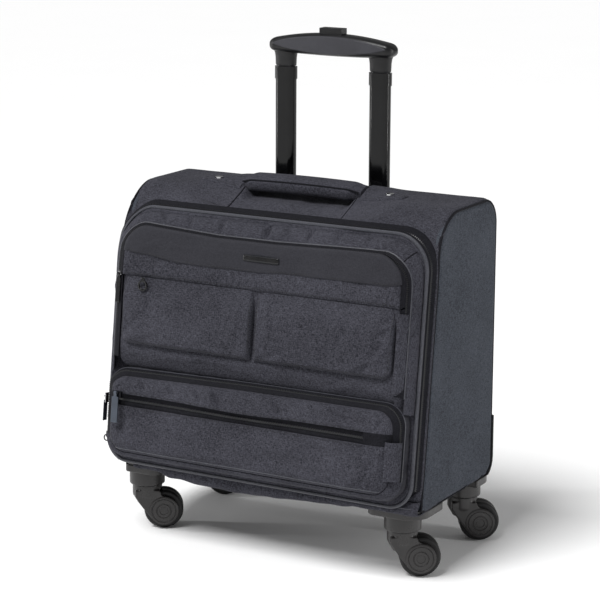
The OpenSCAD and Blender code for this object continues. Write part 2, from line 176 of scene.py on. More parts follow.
def quads(rows, cols, wrap=False, start=0):
    a, b = np.meshgrid(np.arange(rows if wrap else rows - 1), np.arange(cols - 1), indexing="ij")
    a2 = (a + 1) % rows
    return np.stack([a * cols + b, a * cols + b + 1, a2 * cols + b + 1, a2 * cols + b], -1).reshape(-1, 4) + start


def ring_faces(count, sides):
    """Faces of a closed form through a number of rings, with a cap on each end."""
    r, c = np.meshgrid(np.arange(count - 1), np.arange(sides), indexing="ij")
    c2 = (c + 1) % sides
    walls = np.stack([r * sides + c, r * sides + c2, (r + 1) * sides + c2, (r + 1) * sides + c], -1)
    return walls.reshape(-1, 4).tolist() + [list(range(sides)), list(range((count - 1) * sides, count * sides))]


def grid_normals(p, wrap=False):
    du = (np.roll(p, -1, 0) - np.roll(p, 1, 0)) if wrap else np.gradient(p, axis=0)
    return unit(np.cross(du, np.gradient(p, axis=1)))


SOFT = ("case", "front_flap", "organizer_flap")
FOLDING = ("front_flap", "pocket_flap")         # cloth along the fold of the lower pocket's lid; pieces given this are attached to no body


def settled(points, body):
    """The soft case leans in a little at its upper left corner, and is pulled in low at its front left corner."""
    p = np.array(points, float)
    p[:, 0] += 12.5 * step(p[:, 2], 335, 420) * step(-p[:, 0], 130, 205)
    if body == "case":
        p[:, 0] += 14 * (1 - step(p[:, 2], 84, 124)) * step(-p[:, 0], 150, 213) * (1 - step(p[:, 1], -90, -10))
    return p


def piece(name, points, faces, material, body, stands_for=(), second=None, second_from=0, sharp=38):
    """A mesh piece from points in millimetres; faces from second_from on take the second material."""
    mesh = bpy.data.meshes.new(name)
    points = settled(points, body) if body in SOFT else np.asarray(points, float)
    mesh.from_pydata((points * MM).tolist(), [], [list(map(int, f)) for f in faces])
    mesh.materials.append(material)
    if second:
        mesh.materials.append(second)
        index = np.zeros(len(mesh.polygons), np.int32)
        index[second_from:] = 1
        mesh.polygons.foreach_set("material_index", index)
    work = bmesh.new()
    work.from_mesh(mesh)
    bmesh.ops.remove_doubles(work, verts=work.verts, dist=2e-6)
    bmesh.ops.recalc_face_normals(work, faces=work.faces)
    work.to_mesh(mesh)
    work.free()
    return settle(bpy.data.objects.new(name, mesh), body, stands_for, sharp)


def settle(thing, body, stands_for=(), sharp=38):
    """Links a piece, smooths it, attaches it to its body unless it lies on the pocket's fold, and hides the CAD nodes
    that it stands for.
    """
    bpy.context.scene.collection.objects.link(thing)
    thing.data.shade_smooth()
    thing.data.set_sharp_from_angle(angle=math.radians(sharp))
    if body == FOLDING:
        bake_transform(thing)
    else:
        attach(thing, body)
    if stands_for:
        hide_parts(*stands_for)
    return thing


def slab(name, outer, inner, material, body, wrap=False, lining=None, **rest):
    """A closed sheet between an outer and an inner grid of points."""
    rows, cols = outer.shape[:2]
    n = rows * cols
    walls = []
    index = np.arange(n).reshape(rows, cols)
    edges = [(index[:, 0], wrap), (index[:, -1], wrap)] + ([] if wrap else [(index[0], False), (index[-1], False)])
    for edge, closed in edges:
        a, b = (edge, np.roll(edge, -1)) if closed else (edge[:-1], edge[1:])
        walls.append(np.stack([a, b, b + n, a + n], -1))
    top, low = quads(rows, cols, wrap), quads(rows, cols, wrap, n)
    faces = np.concatenate([top] + walls + [low])
    points = np.concatenate([outer.reshape(-1, 3), inner.reshape(-1, 3)])
    return piece(name, points, faces, material, body, second=lining, second_from=len(faces) - len(low), **rest)


def sheet_on(name, x, s, t, thick, material, body, **rest):
    """A sheet on the leaning front with its outer side at t."""
    return slab(name, front(x, s, t), front(x, s, t - thick), material, body, **rest)


def strip(name, rails, thick, material, body, wrap=False, flip=False, **rest):
    """A sheet through rails, which are paths with the same number of points."""
    outer = np.stack(rails, 1)
    n = grid_normals(outer, wrap) * (-1 if flip else 1)
    return slab(name, outer, outer - n * thick, material, body, wrap=wrap, **rest)


def tube(name, path, radius, material, body, closed=False, sides=8, **rest):
    path = np.asarray(path, float)
    ahead = np.roll(path, -1, 0) - np.roll(path, 1, 0)
    if not closed:
        ahead[0], ahead[-1] = path[1] - path[0], path[-1] - path[-2]
    ahead = unit(ahead)
    across = np.zeros_like(path)
    ref = np.cross(ahead[0], [0.3, 0.5, 0.81])
    for i, t in enumerate(ahead):
        ref = ref - t * (ref @ t)
        ref /= np.linalg.norm(ref)
        across[i] = ref
    other = np.cross(ahead, across)
    a = np.linspace(0, 2 * np.pi, sides, endpoint=False)
    radius = np.broadcast_to(radius, len(path))[:, None, None]
    rings = path[:, None] + radius * (np.cos(a)[:, None] * across[:, None] + np.sin(a)[:, None] * other[:, None])
    n = len(path)
    r, c = np.meshgrid(np.arange(n if closed else n - 1), np.arange(sides), indexing="ij")
    r2, c2 = (r + 1) % n, (c + 1) % sides
    faces = np.stack([r * sides + c, r * sides + c2, r2 * sides + c2, r2 * sides + c], -1).reshape(-1, 4).tolist()
    if not closed:
        faces += [list(range(sides)), list(range((n - 1) * sides, n * sides))]
    return piece(name, rings.reshape(-1, 3), faces, material, body, **rest)


CUBE = np.array([(-1, -1, -1), (1, -1, -1), (1, 1, -1), (-1, 1, -1),
                 (-1, -1, 1), (1, -1, 1), (1, 1, 1), (-1, 1, 1)]) / 2
CUBE_FACES = np.array([(0, 3, 2, 1), (4, 5, 6, 7), (0, 1, 5, 4), (1, 2, 6, 5), (2, 3, 7, 6), (3, 0, 4, 7)])


def beads(name, path, out, pitch, size, material, body, aside=0.0, phase=0.0, **rest):
    """Small blocks along a path, such as zip teeth or stitches. size is along, across and out of the path."""
    path = np.asarray(path, float)
    out = np.broadcast_to(out, path.shape)
    run = run_along(path)
    at = np.arange(pitch / 2 + phase * pitch, run[-1] - pitch / 4, pitch)
    centre = np.stack([np.interp(at, run, path[:, i]) for i in range(3)], -1)
    ahead = unit(np.stack([np.interp(at + 0.3, run, path[:, i]) - np.interp(at - 0.3, run, path[:, i])
                           for i in range(3)], -1))
    up = unit(np.stack([np.interp(at, run, out[:, i]) for i in range(3)], -1))
    side = unit(np.cross(ahead, up))
    centre = centre + side * aside
    box = CUBE * np.array(size)
    points = centre[:, None] + (box[:, :1] * ahead[:, None] + box[:, 1:2] * side[:, None] + box[:, 2:] * up[:, None])
    faces = (CUBE_FACES[None] + 8 * np.arange(len(at))[:, None, None]).reshape(-1, 4)
    return piece(name, points.reshape(-1, 3), faces, material, body, **rest)


def seam(name, path, out, body, length=2.6, gap=1.4, lifted=0.15):
    """A line of stitches on a surface."""
    out = np.broadcast_to(out, np.shape(path))
    return beads(name, path + out * lifted, out, length + gap, (length, 0.45, 0.35), THREAD, body)


def soften(node, material, body, voxel, rounds, name=None):
    """A CAD part's own shape with moulded, rounded edges."""
    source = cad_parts[node]
    work = bpy.data.objects.new("work", source.data.copy())
    bpy.context.scene.collection.objects.link(work)
    remesh = work.modifiers.new("remesh", "REMESH")
    remesh.mode, remesh.voxel_size = "VOXEL", voxel * MM
    smooth = work.modifiers.new("smooth", "SMOOTH")
    smooth.factor, smooth.iterations = 0.5, rounds
    bpy.context.view_layer.update()
    mesh = bpy.data.meshes.new_from_object(work.evaluated_get(bpy.context.evaluated_depsgraph_get()))
    bpy.data.objects.remove(work)
    mesh.materials.clear()
    mesh.materials.append(material)
    return settle(bpy.data.objects.new(name or node + "_moulded", mesh), body, (node,), 60)


# ---- materials --------------------------------------------------------------


class Finish:
    """A Principled material with a few procedural inputs."""

    def __init__(self, name, slot=None, **sockets):
        self.material = bpy.data.materials.new(name)
        self.material.use_nodes = True
        self.tree = self.material.node_tree
        self.shader = self.tree.nodes["Principled BSDF"]
        self.coords = self.add("ShaderNodeTexCoord").outputs["Object"]
        for key, value in sockets.items():
            self.shader.inputs[key.replace("_", " ")].default_value = value

    def add(self, kind, **values):
        node = self.tree.nodes.new(kind)
        for key, value in values.items():
            if hasattr(node, key):
                setattr(node, key, value)
            else:
                node.inputs[key.replace("_", " ")].default_value = value
        return node

    def link(self, a, b):
        self.tree.links.new(a, b)

    def noise(self, scale, detail=1.0, rough=0.5):
        """Noise; scale is one number or one for each axis, in cycles a metre."""
        mapping = self.add("ShaderNodeMapping", Scale=scale if hasattr(scale, "__len__") else (scale,) * 3)
        self.link(self.coords, mapping.inputs["Vector"])
        noise = self.add("ShaderNodeTexNoise", Scale=1.0, Detail=detail, Roughness=rough)
        self.link(mapping.outputs["Vector"], noise.inputs["Vector"])
        return noise.outputs["Fac"]

    def math(self, operation, a, b):
        node = self.add("ShaderNodeMath", operation=operation)
        for i, v in enumerate((a, b)):
            if isinstance(v, (int, float)):
                node.inputs[i].default_value = v
            else:
                self.link(v, node.inputs[i])
        return node.outputs[0]

    def threads(self, along, across):
        """Short streaks along X, Y and Z, added up: a mottled weave on a face of any heading."""
        total = None
        for axis in range(3):
            scale = [across] * 3
            scale[axis] = along
            field = self.noise(tuple(scale))
            total = field if total is None else self.math("ADD", total, field)
        return self.math("DIVIDE", total, 3.0)

    def ramp(self, field, stops):
        node = self.add("ShaderNodeValToRGB")
        ramp = node.color_ramp
        ramp.elements[0].position, ramp.elements[0].color = stops[0][0], (*stops[0][1], 1)
        ramp.elements[1].position, ramp.elements[1].color = stops[-1][0], (*stops[-1][1], 1)
        for at, colour in stops[1:-1]:
            ramp.elements.new(at).color = (*colour, 1)
        self.link(field, node.inputs["Fac"])
        return node.outputs["Color"]

    def colour(self, output):
        self.link(output, self.shader.inputs["Base Color"])

    def rough(self, field, low, high):
        node = self.add("ShaderNodeMapRange", To_Min=low, To_Max=high)
        node.inputs["From Min"].default_value, node.inputs["From Max"].default_value = 0.3, 0.7
        self.link(field, node.inputs["Value"])
        self.link(node.outputs["Result"], self.shader.inputs["Roughness"])

    def bump(self, field, depth, strength=0.6, under=None):
        node = self.add("ShaderNodeBump", Strength=strength, Distance=depth * MM)
        self.link(field, node.inputs["Height"])
        if under:
            self.link(under, node.inputs["Normal"])
        self.link(node.outputs["Normal"], self.shader.inputs["Normal"])
        return node.outputs["Normal"]


def srgb(*levels):
    """Linear colour of 0 to 255 levels."""
    return tuple(((v / 255 / 12.92) if v < 10.3 else ((v / 255 + 0.055) / 1.055) ** 2.4) for v in levels)


def fabric(name, slot, dark, light, along=260.0, across=1300.0, sheen=0.03, rough=0.88, weave=2600.0, shine=0.08):
    f = Finish(name, slot, Sheen_Weight=sheen, Sheen_Roughness=0.45, Specular_IOR_Level=shine)
    streaks = f.threads(along, across)
    tone = f.math("MULTIPLY", f.math("SUBTRACT", f.noise(14.0, 2.0), 0.5), 0.16)
    f.colour(f.ramp(f.math("ADD", streaks, tone), [(0.38, dark), (0.5, tuple((a + b) / 2 for a, b in zip(dark, light))),
                                                   (0.62, light)]))
    f.rough(streaks, rough + 0.06, rough - 0.08)
    base = f.bump(f.threads(weave * 0.35, weave), 0.35, 0.5)
    f.bump(streaks, 0.5, 0.35, base)
    return f.material


def plastic(name, slot, colour, rough, grain=1500.0, depth=0.05, wear=0.12, **sockets):
    f = Finish(name, slot, **sockets)
    tone = f.noise(35.0, 3.0)
    low = tuple(c * (1 - wear) for c in colour)
    high = tuple(c * (1 + wear) + 0.002 for c in colour)
    f.colour(f.ramp(tone, [(0.35, low), (0.65, high)]))
    f.rough(f.noise(60.0, 3.0), rough - 0.06, rough + 0.08)
    f.bump(f.noise(grain, 2.0), depth, 0.5)
    return f.material


FABRIC = fabric("heather_fabric", "main_fabric", srgb(30, 30, 35), srgb(72, 72, 80))
SIDE = fabric("side_heather_fabric", "side_fabric", srgb(42, 45, 51), srgb(78, 82, 90))
SMOOTH = fabric("smooth_band_fabric", "main_fabric", srgb(36, 36, 41), srgb(48, 48, 54), 300.0, 1600.0, 0.03, 0.7,
                shine=0.15)
TAPE = fabric("zip_tape", "lining", srgb(14, 14, 18), srgb(30, 30, 35), 400.0, 1300.0, 0.02, 0.7)
LINING = fabric("lining_cloth", "lining", srgb(30, 30, 35), srgb(44, 44, 49), 300.0, 1800.0, 0.02, 0.7)
# Piping cord: a grey cloth made lighter than its own tone, so part of its colour is a painted highlight along the cord.
PIPING = fabric("piping_cord_painted_highlight", "lining", srgb(46, 47, 53), srgb(74, 75, 82), 500.0, 1500.0, 0.05, 0.4, shine=0.35)
THREAD = plastic("sewing_thread", "lining", srgb(24, 24, 29), 0.6, 4000.0, 0.1)
SHELL = plastic("moulded_plastic", "shell_plastic", srgb(14, 14, 16), 0.42, 1800.0, 0.06, Specular_IOR_Level=0.35)
CASTER = plastic("caster_plastic", "caster_plastic", srgb(32, 30, 30), 0.3, 1600.0, 0.05, Specular_IOR_Level=0.5)
RUBBER = plastic("tyre_rubber", "tyre_rubber", srgb(14, 13, 14), 0.5, 1200.0, 0.06, Specular_IOR_Level=0.35)
BOARD = plastic("pressed_board", "board", srgb(40, 40, 42), 0.7, 900.0, 0.1)
GLOSS = plastic("gloss_black_tube", "wide_tube", srgb(3, 3, 4), 0.1, 200.0, 0.01, 0.05, Specular_IOR_Level=0.3)
INNER_TUBE = plastic("satin_tube", "narrow_tube", srgb(40, 39, 43), 0.28, 600.0, 0.02, Metallic=0.35)
GRIP = plastic("grip_black", "grip_black", srgb(14, 14, 16), 0.36, 1800.0, 0.05, Specular_IOR_Level=0.35)
INSERT = plastic("grip_grey", "grip_grey", srgb(44, 44, 50), 0.62, 900.0, 0.35)
CHROME = plastic("polished_steel", "steel", srgb(190, 190, 192), 0.16, 500.0, 0.01, 0.06, Metallic=1.0)
ROD = plastic("plain_steel", "rod_steel", srgb(150, 150, 150), 0.35, 700.0, 0.02, Metallic=1.0)
DARK_METAL = plastic("dark_zip_metal", "zip_metal", srgb(26, 27, 31), 0.35, 800.0, 0.02, Metallic=0.6)
PULL_METAL = plastic("blue_grey_pull", "zip_metal", srgb(70, 76, 86), 0.38, 800.0, 0.03, Metallic=0.45)
TEETH = plastic("zip_teeth", "zip_metal", srgb(22, 23, 26), 0.34, 900.0, 0.02)
PLATE = plastic("plate_black", "grip_black", srgb(8, 8, 10), 0.25, 900.0, 0.02)

for node, finish in {
        "back_board": BOARD, "guide_tubes": SHELL, "wide_tubes": GLOSS, "wide_tube_fittings": GLOSS,
        "narrow_tubes": INNER_TUBE, "narrow_lock_blocks": SHELL, "release_rods": ROD, "button_spring": ROD,
        "handle_rivets": CHROME, "slip_zip_slider": DARK_METAL}.items():
    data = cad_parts[node].data
    data.materials.clear()
    data.materials.append(finish)
for corner in ("front_left", "front_right", "rear_left", "rear_right"):
    for part, finish in (("pins", ROD), ("hub", CASTER)):
        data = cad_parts[f"{corner}_{part}"].data
        data.materials.clear()
        data.materials.append(finish)

# ---- case shell -------------------------------------------------------------

TOP, BOTTOM, BACK = 426.5, 86.0, 84.0
FRONT_R, BACK_R, LOW_R = 58.0, 34.0, 20.0       # bends at the front top, back top and back bottom
SEAM_X = 76.0                       # seams beside the carry handle
EDGE_X = 212.6                      # where the soft panels meet the side panels


def front_at(z):
    return HINGE_Y + (z - HINGE_Z) * math.tan(LEAN)


FLAT_Y = front_at(TOP - FRONT_R) + FRONT_R / math.cos(LEAN)     # where the front bend meets the flat top


def case_loop(inset=0.0):
    """Side view of the case, (y, z), from the foot of the front over the top, down the back and along the bottom."""
    rf, rb, rd, rl = FRONT_R, BACK_R, LOW_R, 6.0
    lean = math.degrees(LEAN)
    zf, zl = TOP - rf, BOTTOM + rl
    corners = [arc(front_at(zf) + rf / math.cos(LEAN), zf, rf - inset, 180 - lean, 90, 30),
               arc(BACK - rb, TOP - rb, rb - inset, 90, 0, 20),
               arc(BACK - rd, BOTTOM + rd, rd - inset, 0, -90, 14),
               arc(front_at(zl) + rl / math.cos(LEAN), zl, rl - inset, 270, 180 - lean, 8)]
    parts = []
    for i, n in enumerate((34, 60, 40, 60)):
        parts += [corners[i], line(corners[i][-1], corners[(i + 1) % 4][0], n)]
    return np.concatenate(parts)


def side_panel(side, name):
    """The stiff, lightly padded side: its edge is turned in under a piping."""
    low, high = BOTTOM + 1.5, TOP - 3.5
    z = low + (high - low) * spread(130, 0.85)
    ring = case_loop(3.0)
    half = int(np.argmax(ring[:, 1]))

    def edge(mask):
        y, h = ring[mask, 0], ring[mask, 1]
        o = np.argsort(h)
        return np.interp(z, h[o], y[o])
    y_low = edge(ring[:, 0] < 10) + 4.5 * (1 - step(z, 340, 415))
    y_high = edge(ring[:, 0] >= 10)
    u = spread(70, 0.6)
    y = y_low[:, None] + (y_high - y_low)[:, None] * u
    zz = np.repeat(z[:, None], len(u), 1)
    border = np.concatenate([np.stack([y_low, z], -1), np.stack([y_high, z], -1)[::-1]])
    border = np.concatenate([border, line(border[-1], border[0], 60)])
    around = np.concatenate([border, line(border[129], border[130], 40)])
    gap = np.min(np.hypot(y[..., None] - around[:, 0], zz[..., None] - around[:, 1]), -1)
    x = 211.4 + 3.2 * lift(gap, 5) + 1.4 * lift(gap, 70) + 0.3 * ripple(3, 90, y, zz) * lift(gap, 30)
    outer = np.stack([side * x, y, zz], -1)
    inner = np.stack([side * (x - 4.2), y, zz], -1)
    slab(name, outer, inner, SIDE, "case", lining=LINING, stands_for=("side_panel_" + name.split("_")[1],))
    tube(name + "_piping", np.column_stack([np.full(len(border), side * 213.0), border]), 1.5, TAPE, "case",
         closed=True)


for side, name in ((-1, "panel_left_side"), (1, "panel_right_side")):
    side_panel(side, name)

# The soft surround of the main zip, from the zip's outer tape to the case's sides and top
TOP_FRONT = -50.0                   # where the surround meets the top panels


def zip_loop(half, s_top, r, t_side, t_top):
    """A rail of the main zip; it stands further back along the top than along the sides."""
    p = loop(-half, half, 9, s_top, r, 30)
    return front(p[:, 0], p[:, 1], t_side + (t_top - t_side) * step(p[:, 1], s_top - r, s_top - 4))


def outline_z(y):
    """Height of the case's outline over its front top arc and flat top."""
    y = np.asarray(y, float)
    back = TOP - BACK_R + np.sqrt(np.maximum(BACK_R ** 2 - (y - BACK + BACK_R) ** 2, 0))
    fore = TOP - FRONT_R + np.sqrt(np.maximum(FRONT_R ** 2 - (y - FLAT_Y) ** 2, 0))
    return np.where(y < FLAT_Y, fore, np.where(y > BACK - BACK_R, back, TOP))


def seam_height(y):
    """Height of the top along the seams beside the carry handle."""
    return np.interp(y, [-74, -67, -46, -18, -4, 14, 30, 42, 54], [398, 402.5, 406, 418.5, 426, 433.5, 433, 430, 426.5])


def side_top(x, y):
    """Height of the top outside the two seams."""
    w = step(np.abs(x), SEAM_X, SEAM_X + 66)
    z = (1 - w) * np.where(y < 54, seam_height(y), outline_z(y)) + w * outline_z(y)
    puff = 0.9 * ripple(11, 60, x, y) * step(np.abs(x), 80, 110) * (1 - step(np.abs(x), 195, 208)) * step(y, -60, -40)
    pad = 3.0 * np.exp(-((np.abs(x) - 116) / 16) ** 2 - ((y + 2) / 13) ** 2)
    return z + puff * (1 - step(y, 40, 60)) + pad


def middle_top(x, y):
    """Height of the dip under the carry handle."""
    z = np.interp(y, [-74, -67, -46, -25, -5, 10, 22, 40, 54], [398, 402.5, 405, 409.5, 412.5, 415, 420, 424, 426])
    wall = step(np.abs(x), 64, 75.5)
    return z + (seam_height(y) - 1.2 - z) * wall + 0.7 * ripple(12, 38, x, y) * (1 - wall)


def top_panel(side, name):
    y = np.concatenate([np.linspace(TOP_FRONT, 50, 60),
                        BACK - BACK_R + BACK_R * np.sin(np.radians(np.linspace(1, 84, 24)))])
    x = SEAM_X + (EDGE_X - SEAM_X) * spread(80, 0.7)
    x, y = np.meshgrid(x, y, indexing="ij")
    z = side_top(x, y)
    drop = 4.2 * (1 - lift(EDGE_X - x, 6)) + 1.4 * (1 - lift(x - SEAM_X, 3))
    behind = np.where(y > BACK - BACK_R, (y - BACK + BACK_R) / BACK_R, 0)
    ny = np.where(y < FLAT_Y, (y - FLAT_Y) / FRONT_R, behind)
    nz = np.sqrt(np.maximum(1 - ny ** 2, 0))
    outer = np.stack([side * x, y - ny * drop, z - nz * drop], -1)
    inner = np.stack([side * x, y - ny * (drop + 3.5), z - nz * (drop + 3.5)], -1)
    slab(name, outer, inner, FABRIC, "case", lining=LINING, stands_for=("top_panel_" + name.split("_")[1],))
    edge = outer[0] + [side * 0.2, 0, 0.3]
    tube(name + "_seam", edge[:60], 1.0, TAPE, "case", sides=6)


top_panel(-1, "deck_left_panel")
top_panel(1, "deck_right_panel")

u = spread(90, 0.75)
x, y = np.meshgrid(-SEAM_X + 2 * SEAM_X * u, np.linspace(-66.5, 54, 70), indexing="ij")
z = middle_top(x, y)
slab("deck_middle_panel", np.stack([x, y, z], -1), np.stack([x, y, z - 3.5], -1), FABRIC, "case", lining=LINING,
     stands_for=("top_panel_middle",))

# Surround strip: its inner edge is the zip's outer rail, its outer edge the side seam and then the top panels
rail = zip_loop(EDGE_X, 321.0, 45, -1.6, -7.4)
outer_edge = np.empty_like(rail)
SURROUND_TOP, SURROUND_R = 317.0, 43
bend_s = SURROUND_TOP - SURROUND_R         # height up the lean where its corners start
p = loop(-EDGE_X, EDGE_X, 9, SURROUND_TOP, SURROUND_R, 30)
for i, (px, ps) in enumerate(p):
    a = np.sign(px) or 1.0
    if ps > bend_s:
        if abs(px) > EDGE_X - SURROUND_R:
            k = np.clip((ps - bend_s) / SURROUND_R, 0, 1)
            turn = math.degrees(math.asin(k)) / 90
            if turn < 0.5:
                q = turn / 0.5
                yy = (front_at(352.0) + 7.5) * (1 - q) + (TOP_FRONT + 1) * q
                zz = float(outline_z(yy)) - 3.4 if yy > -64 else 352 + (398 - 352) * q / 0.7
                outer_edge[i] = [a * 213.0, yy, min(zz, 420)]
            else:
                q = (turn - 0.5) / 0.5
                xx = EDGE_X + (169.6 - EDGE_X) * q
                outer_edge[i] = [a * xx, TOP_FRONT, side_top(xx, TOP_FRONT) - 4.2 * (1 - lift(EDGE_X - xx, 6))]
        else:
            zz = side_top(px, TOP_FRONT) if abs(px) > SEAM_X else middle_top(px, TOP_FRONT)
            outer_edge[i] = [px, TOP_FRONT, zz]
    else:
        zz = float(np.interp(ps, [9, bend_s], [99, 352]))
        outer_edge[i] = [a * 213.6 if abs(px) > 150 else px, front_at(zz) + 7.5, zz]
keep = (p[:, 1] > np.where(p[:, 0] < 0, 30, 10.5)) & ~((np.abs(p[:, 0]) < 182) & (p[:, 1] < 200))
order = np.flatnonzero(keep)
a, b = rail[order], outer_edge[order]
v = np.linspace(0, 1, 12)[None, :, None]
out = unit(np.stack([a[:, 0] * 0.004 * (np.abs(a[:, 0]) > 160), np.full(len(a), -1.0),
                     np.where(a[:, 2] > 352, 1.0, 0.0)], -1))
bulge = np.sin(np.pi * v) * (2.2 - 0.8 * step(a[:, 2], 340, 390))[:, None, None]
surround = a[:, None] * (1 - v) + b[:, None] * v + out[:, None] * bulge
n = grid_normals(surround)
if (n[:, 5] * out).sum() < 0:
    n = -n
slab("zip_surround_fabric", surround, surround - n * 2.0, FABRIC, "case", lining=LINING)

# Rim under the flap
ring0 = loop(-211, 211, 10, 309.5, 44, 28)
ring1 = loop(-205.2, 205.2, 15, 304.5, 38, 23)
cross = [(ring0, -24.0), (ring0, -0.8), (ring1, -0.6), (ring1, -24.0)]
rim = np.stack([front(q[:, 0], q[:, 1], t) for q, t in cross], 1)
rows, cols = rim.shape[:2]
faces = np.concatenate([quads(rows, cols, True), np.stack([
    np.arange(rows) * 4 + 3, np.arange(rows) * 4, np.roll(np.arange(rows), -1) * 4,
    np.roll(np.arange(rows), -1) * 4 + 3], -1)])
piece("opening_rim_band", rim.reshape(-1, 3), faces, LINING, "case", stands_for=("front_rim",))

# Back panel: plain lining-backed fabric inside a stitched border
REAR_FOOT = 95.5
z = REAR_FOOT + (TOP - BACK_R - REAR_FOOT) * spread(110, 0.6)
x = EDGE_X * (2 * spread(130, 0.75) - 1)
x, z = np.meshgrid(x, z, indexing="ij")
bend = BACK - LOW_R + np.sqrt(np.maximum(LOW_R ** 2 - (z - BOTTOM - LOW_R) ** 2, 0))
y = np.where(z < BOTTOM + LOW_R, bend, BACK)
edge = np.minimum(EDGE_X - np.abs(x), 300)
waves = 0.8 * ripple(21, 110, x, z) * lift(edge, 60) * step(z, 100, 150) * (1 - step(z, 350, 392))
y = y - 4.0 * (1 - lift(edge, 6)) + waves
slab("rear_fabric_panel", np.stack([x, y, z], -1), np.stack([x, y - 3.6, z], -1), FABRIC, "case", lining=LINING,
     stands_for=("back_panel",))
corners = [(-170, 140), (170, 140), (170, 372), (-170, 372)]
path = np.array([(cx, BACK + 1.0, cz) for i in range(4)
                 for cx, cz in np.linspace(corners[i], corners[(i + 1) % 4], 120)])
seam("rear_border_stitches", path, [0, 1.0, 0], "case")

# Fabric foot below the flap: a soft roll that sags in the middle and turns in under the case
x = 213.0 * (2 * spread(150, 0.5) - 1)
x = np.where(x < 0, 0.89 * x, x)
sag = 7.6 * np.exp(-((x + 30) / 105) ** 2) + 1.0 * (1 - step(np.abs(x), 150, 200))
drop = np.where(np.abs(x) > 138, 0, sag) * (1 - step(np.abs(x), 118, 138))
cross = [(-111.0, 101.0), (-113.6, 98.0), (-116.2, 94.5), (-117.6, 91.0), (-117.0, 87.6), (-114.0, 85.6),
         (-108.0, 85.0), (-98.0, 85.4),
         (-80.0, 86.0)]
fall = [0.0, 0.0, 0.1, 0.45, 0.85, 1.0, 1.0, 0.7, 0.0]
end = 5.0 * (1 - lift(np.minimum(213.0 - x, 189.6 + x), 9))
taper = 15.0 * step(-x, 120, 213)
pull = [0.2, 0.5, 0.8, 1.0, 1.0, 1.0, 1.0, 1.0, 0.7]
outer = np.stack([np.column_stack([x + taper * k, yy + end, zz - drop * f + 0.3 * ripple(24, 40, x) * f])
                  for (yy, zz), f, k in zip(cross, fall, pull)], 1)
n = grid_normals(outer)
n *= np.sign((n[:, 3, 1] * -1).mean())
slab("front_foot_roll", outer, outer - n * 1.4, FABRIC, "case", lining=LINING, sharp=60)
tube("front_foot_seam", outer[4:-4, 2] + [0, -0.3, 0], 0.8, PIPING, "case", sides=6)

# Corner guards, bezel and other moulded parts
soften("corner_guards", SHELL, "case", 0.8, 5)
soften("handle_bezel", SHELL, "case", 0.9, 4)
tray = soften("bottom_tray", SHELL, "case", 1.0, 2)
for v in tray.data.vertices:                    # it follows the case's drawn-in front left corner
    v.co.x += 0.030 * float(step(-v.co.x, 0.12, 0.213) * (1 - step(v.co.y, -0.095, -0.01)))

# ---- main flap --------------------------------------------------------------

FLAP = (-204.5, 204.5, 5, 313, 42, 28)
x, s, d = patch(FLAP, pitch=3.2)
t = 6.2 + 1.9 * lift(d, 4) + 0.7 * ripple(31, 70, x, s) * lift(d, 6) * step(s, 290, 300)
slab("flap_fabric", front(x, s, t), front(x, s, np.full_like(t, 4.0)), FABRIC, "front_flap", lining=LINING,
     stands_for=("front_panel",))


def arch(points, low):
    """The part of a loop above a height, from its right foot over the top to its left foot."""
    keep = np.flatnonzero(points[:, 1] >= low)
    return points[keep[0]:keep[-1] + 1]


q = loop(-205.9, 205.9, 3.4, 313.7, 42, 28)
tube("flap_piping", front(q[:, 0], q[:, 1], 6.6), 2.2, PIPING, "front_flap", closed=True)

# Main zip: tape and teeth on the left, top and right; its inner half goes with the flap
ZIP_FOOT = 24.0                     # height up the lean where the zip starts on each side


def main_rail(half, s_top, r, t_side, t_top):
    p = loop(-half, half, 3, s_top, r, 28)
    keep = (p[:, 1] > ZIP_FOOT) & (np.arange(len(p)) > 60) & (np.arange(len(p)) < len(p) - 60)
    p = p[keep]
    return front(p[:, 0], p[:, 1], t_side + (t_top - t_side) * step(p[:, 1], s_top - r, s_top - 4))


def match(*paths):
    n = min(len(v) for v in paths)
    out = []
    for v in paths:
        run = run_along(v)
        at = np.linspace(0, run[-1], n)
        out.append(np.stack([np.interp(at, run, v[:, i]) for i in range(3)], -1))
    return out


MAIN_PITCH, MAIN_TOOTH = 2.4, (1.3, 2.0, 1.6)
teeth = main_rail(208.7, 315.8, 43, 2.0, 2.4)
inner_rail = main_rail(206.4, 314.2, 42, 5.2, 5.6)
strip("main_zip_inner_tape", match(inner_rail, main_rail(207.6, 315.0, 42.5, 3.4, 3.9), teeth), 0.7, TAPE, "front_flap")
strip("main_zip_outer_tape", match(main_rail(208.9, 315.95, 43, 1.7, 2.1), main_rail(210.6, 318.6, 44, 0.4, -1.5),
                                   main_rail(213.2, 321.4, 45, -1.7, -7.4)), 0.7, TAPE, "case")
up = unit(front(teeth[:, 0] * 0 + 1, 0, 1) - front(teeth[:, 0] * 0, 0, 0))
beads("main_zip_inner_teeth", teeth, up, MAIN_PITCH, MAIN_TOOTH, TEETH, "front_flap", aside=0.5)
beads("main_zip_outer_teeth", teeth, up, MAIN_PITCH, MAIN_TOOTH, TEETH, "case", aside=-0.5, phase=0.5)

# ---- organizer --------------------------------------------------------------

FLAP_OUT = front(0, 0, 1) - front(0, 0, 0)
ZIP_PITCH, ZIP_TOOTH = 2.2, (1.2, 1.9, 1.5)      # a tooth is along, across and out of the zip


def arc_rail(x_half, s_top, r, low, t, r_low=22):
    """A rail round the organizer's sides and top, above a height."""
    p = arch(loop(-x_half, x_half, 10, s_top, r, r_low), low)
    return p, np.full(len(p), float(t))


def even(p, t, n=420):
    run = run_along(p)
    at = np.linspace(0, run[-1], n)
    return np.stack([np.interp(at, run, p[:, 0]), np.interp(at, run, p[:, 1]), np.interp(at, run, t)], -1)


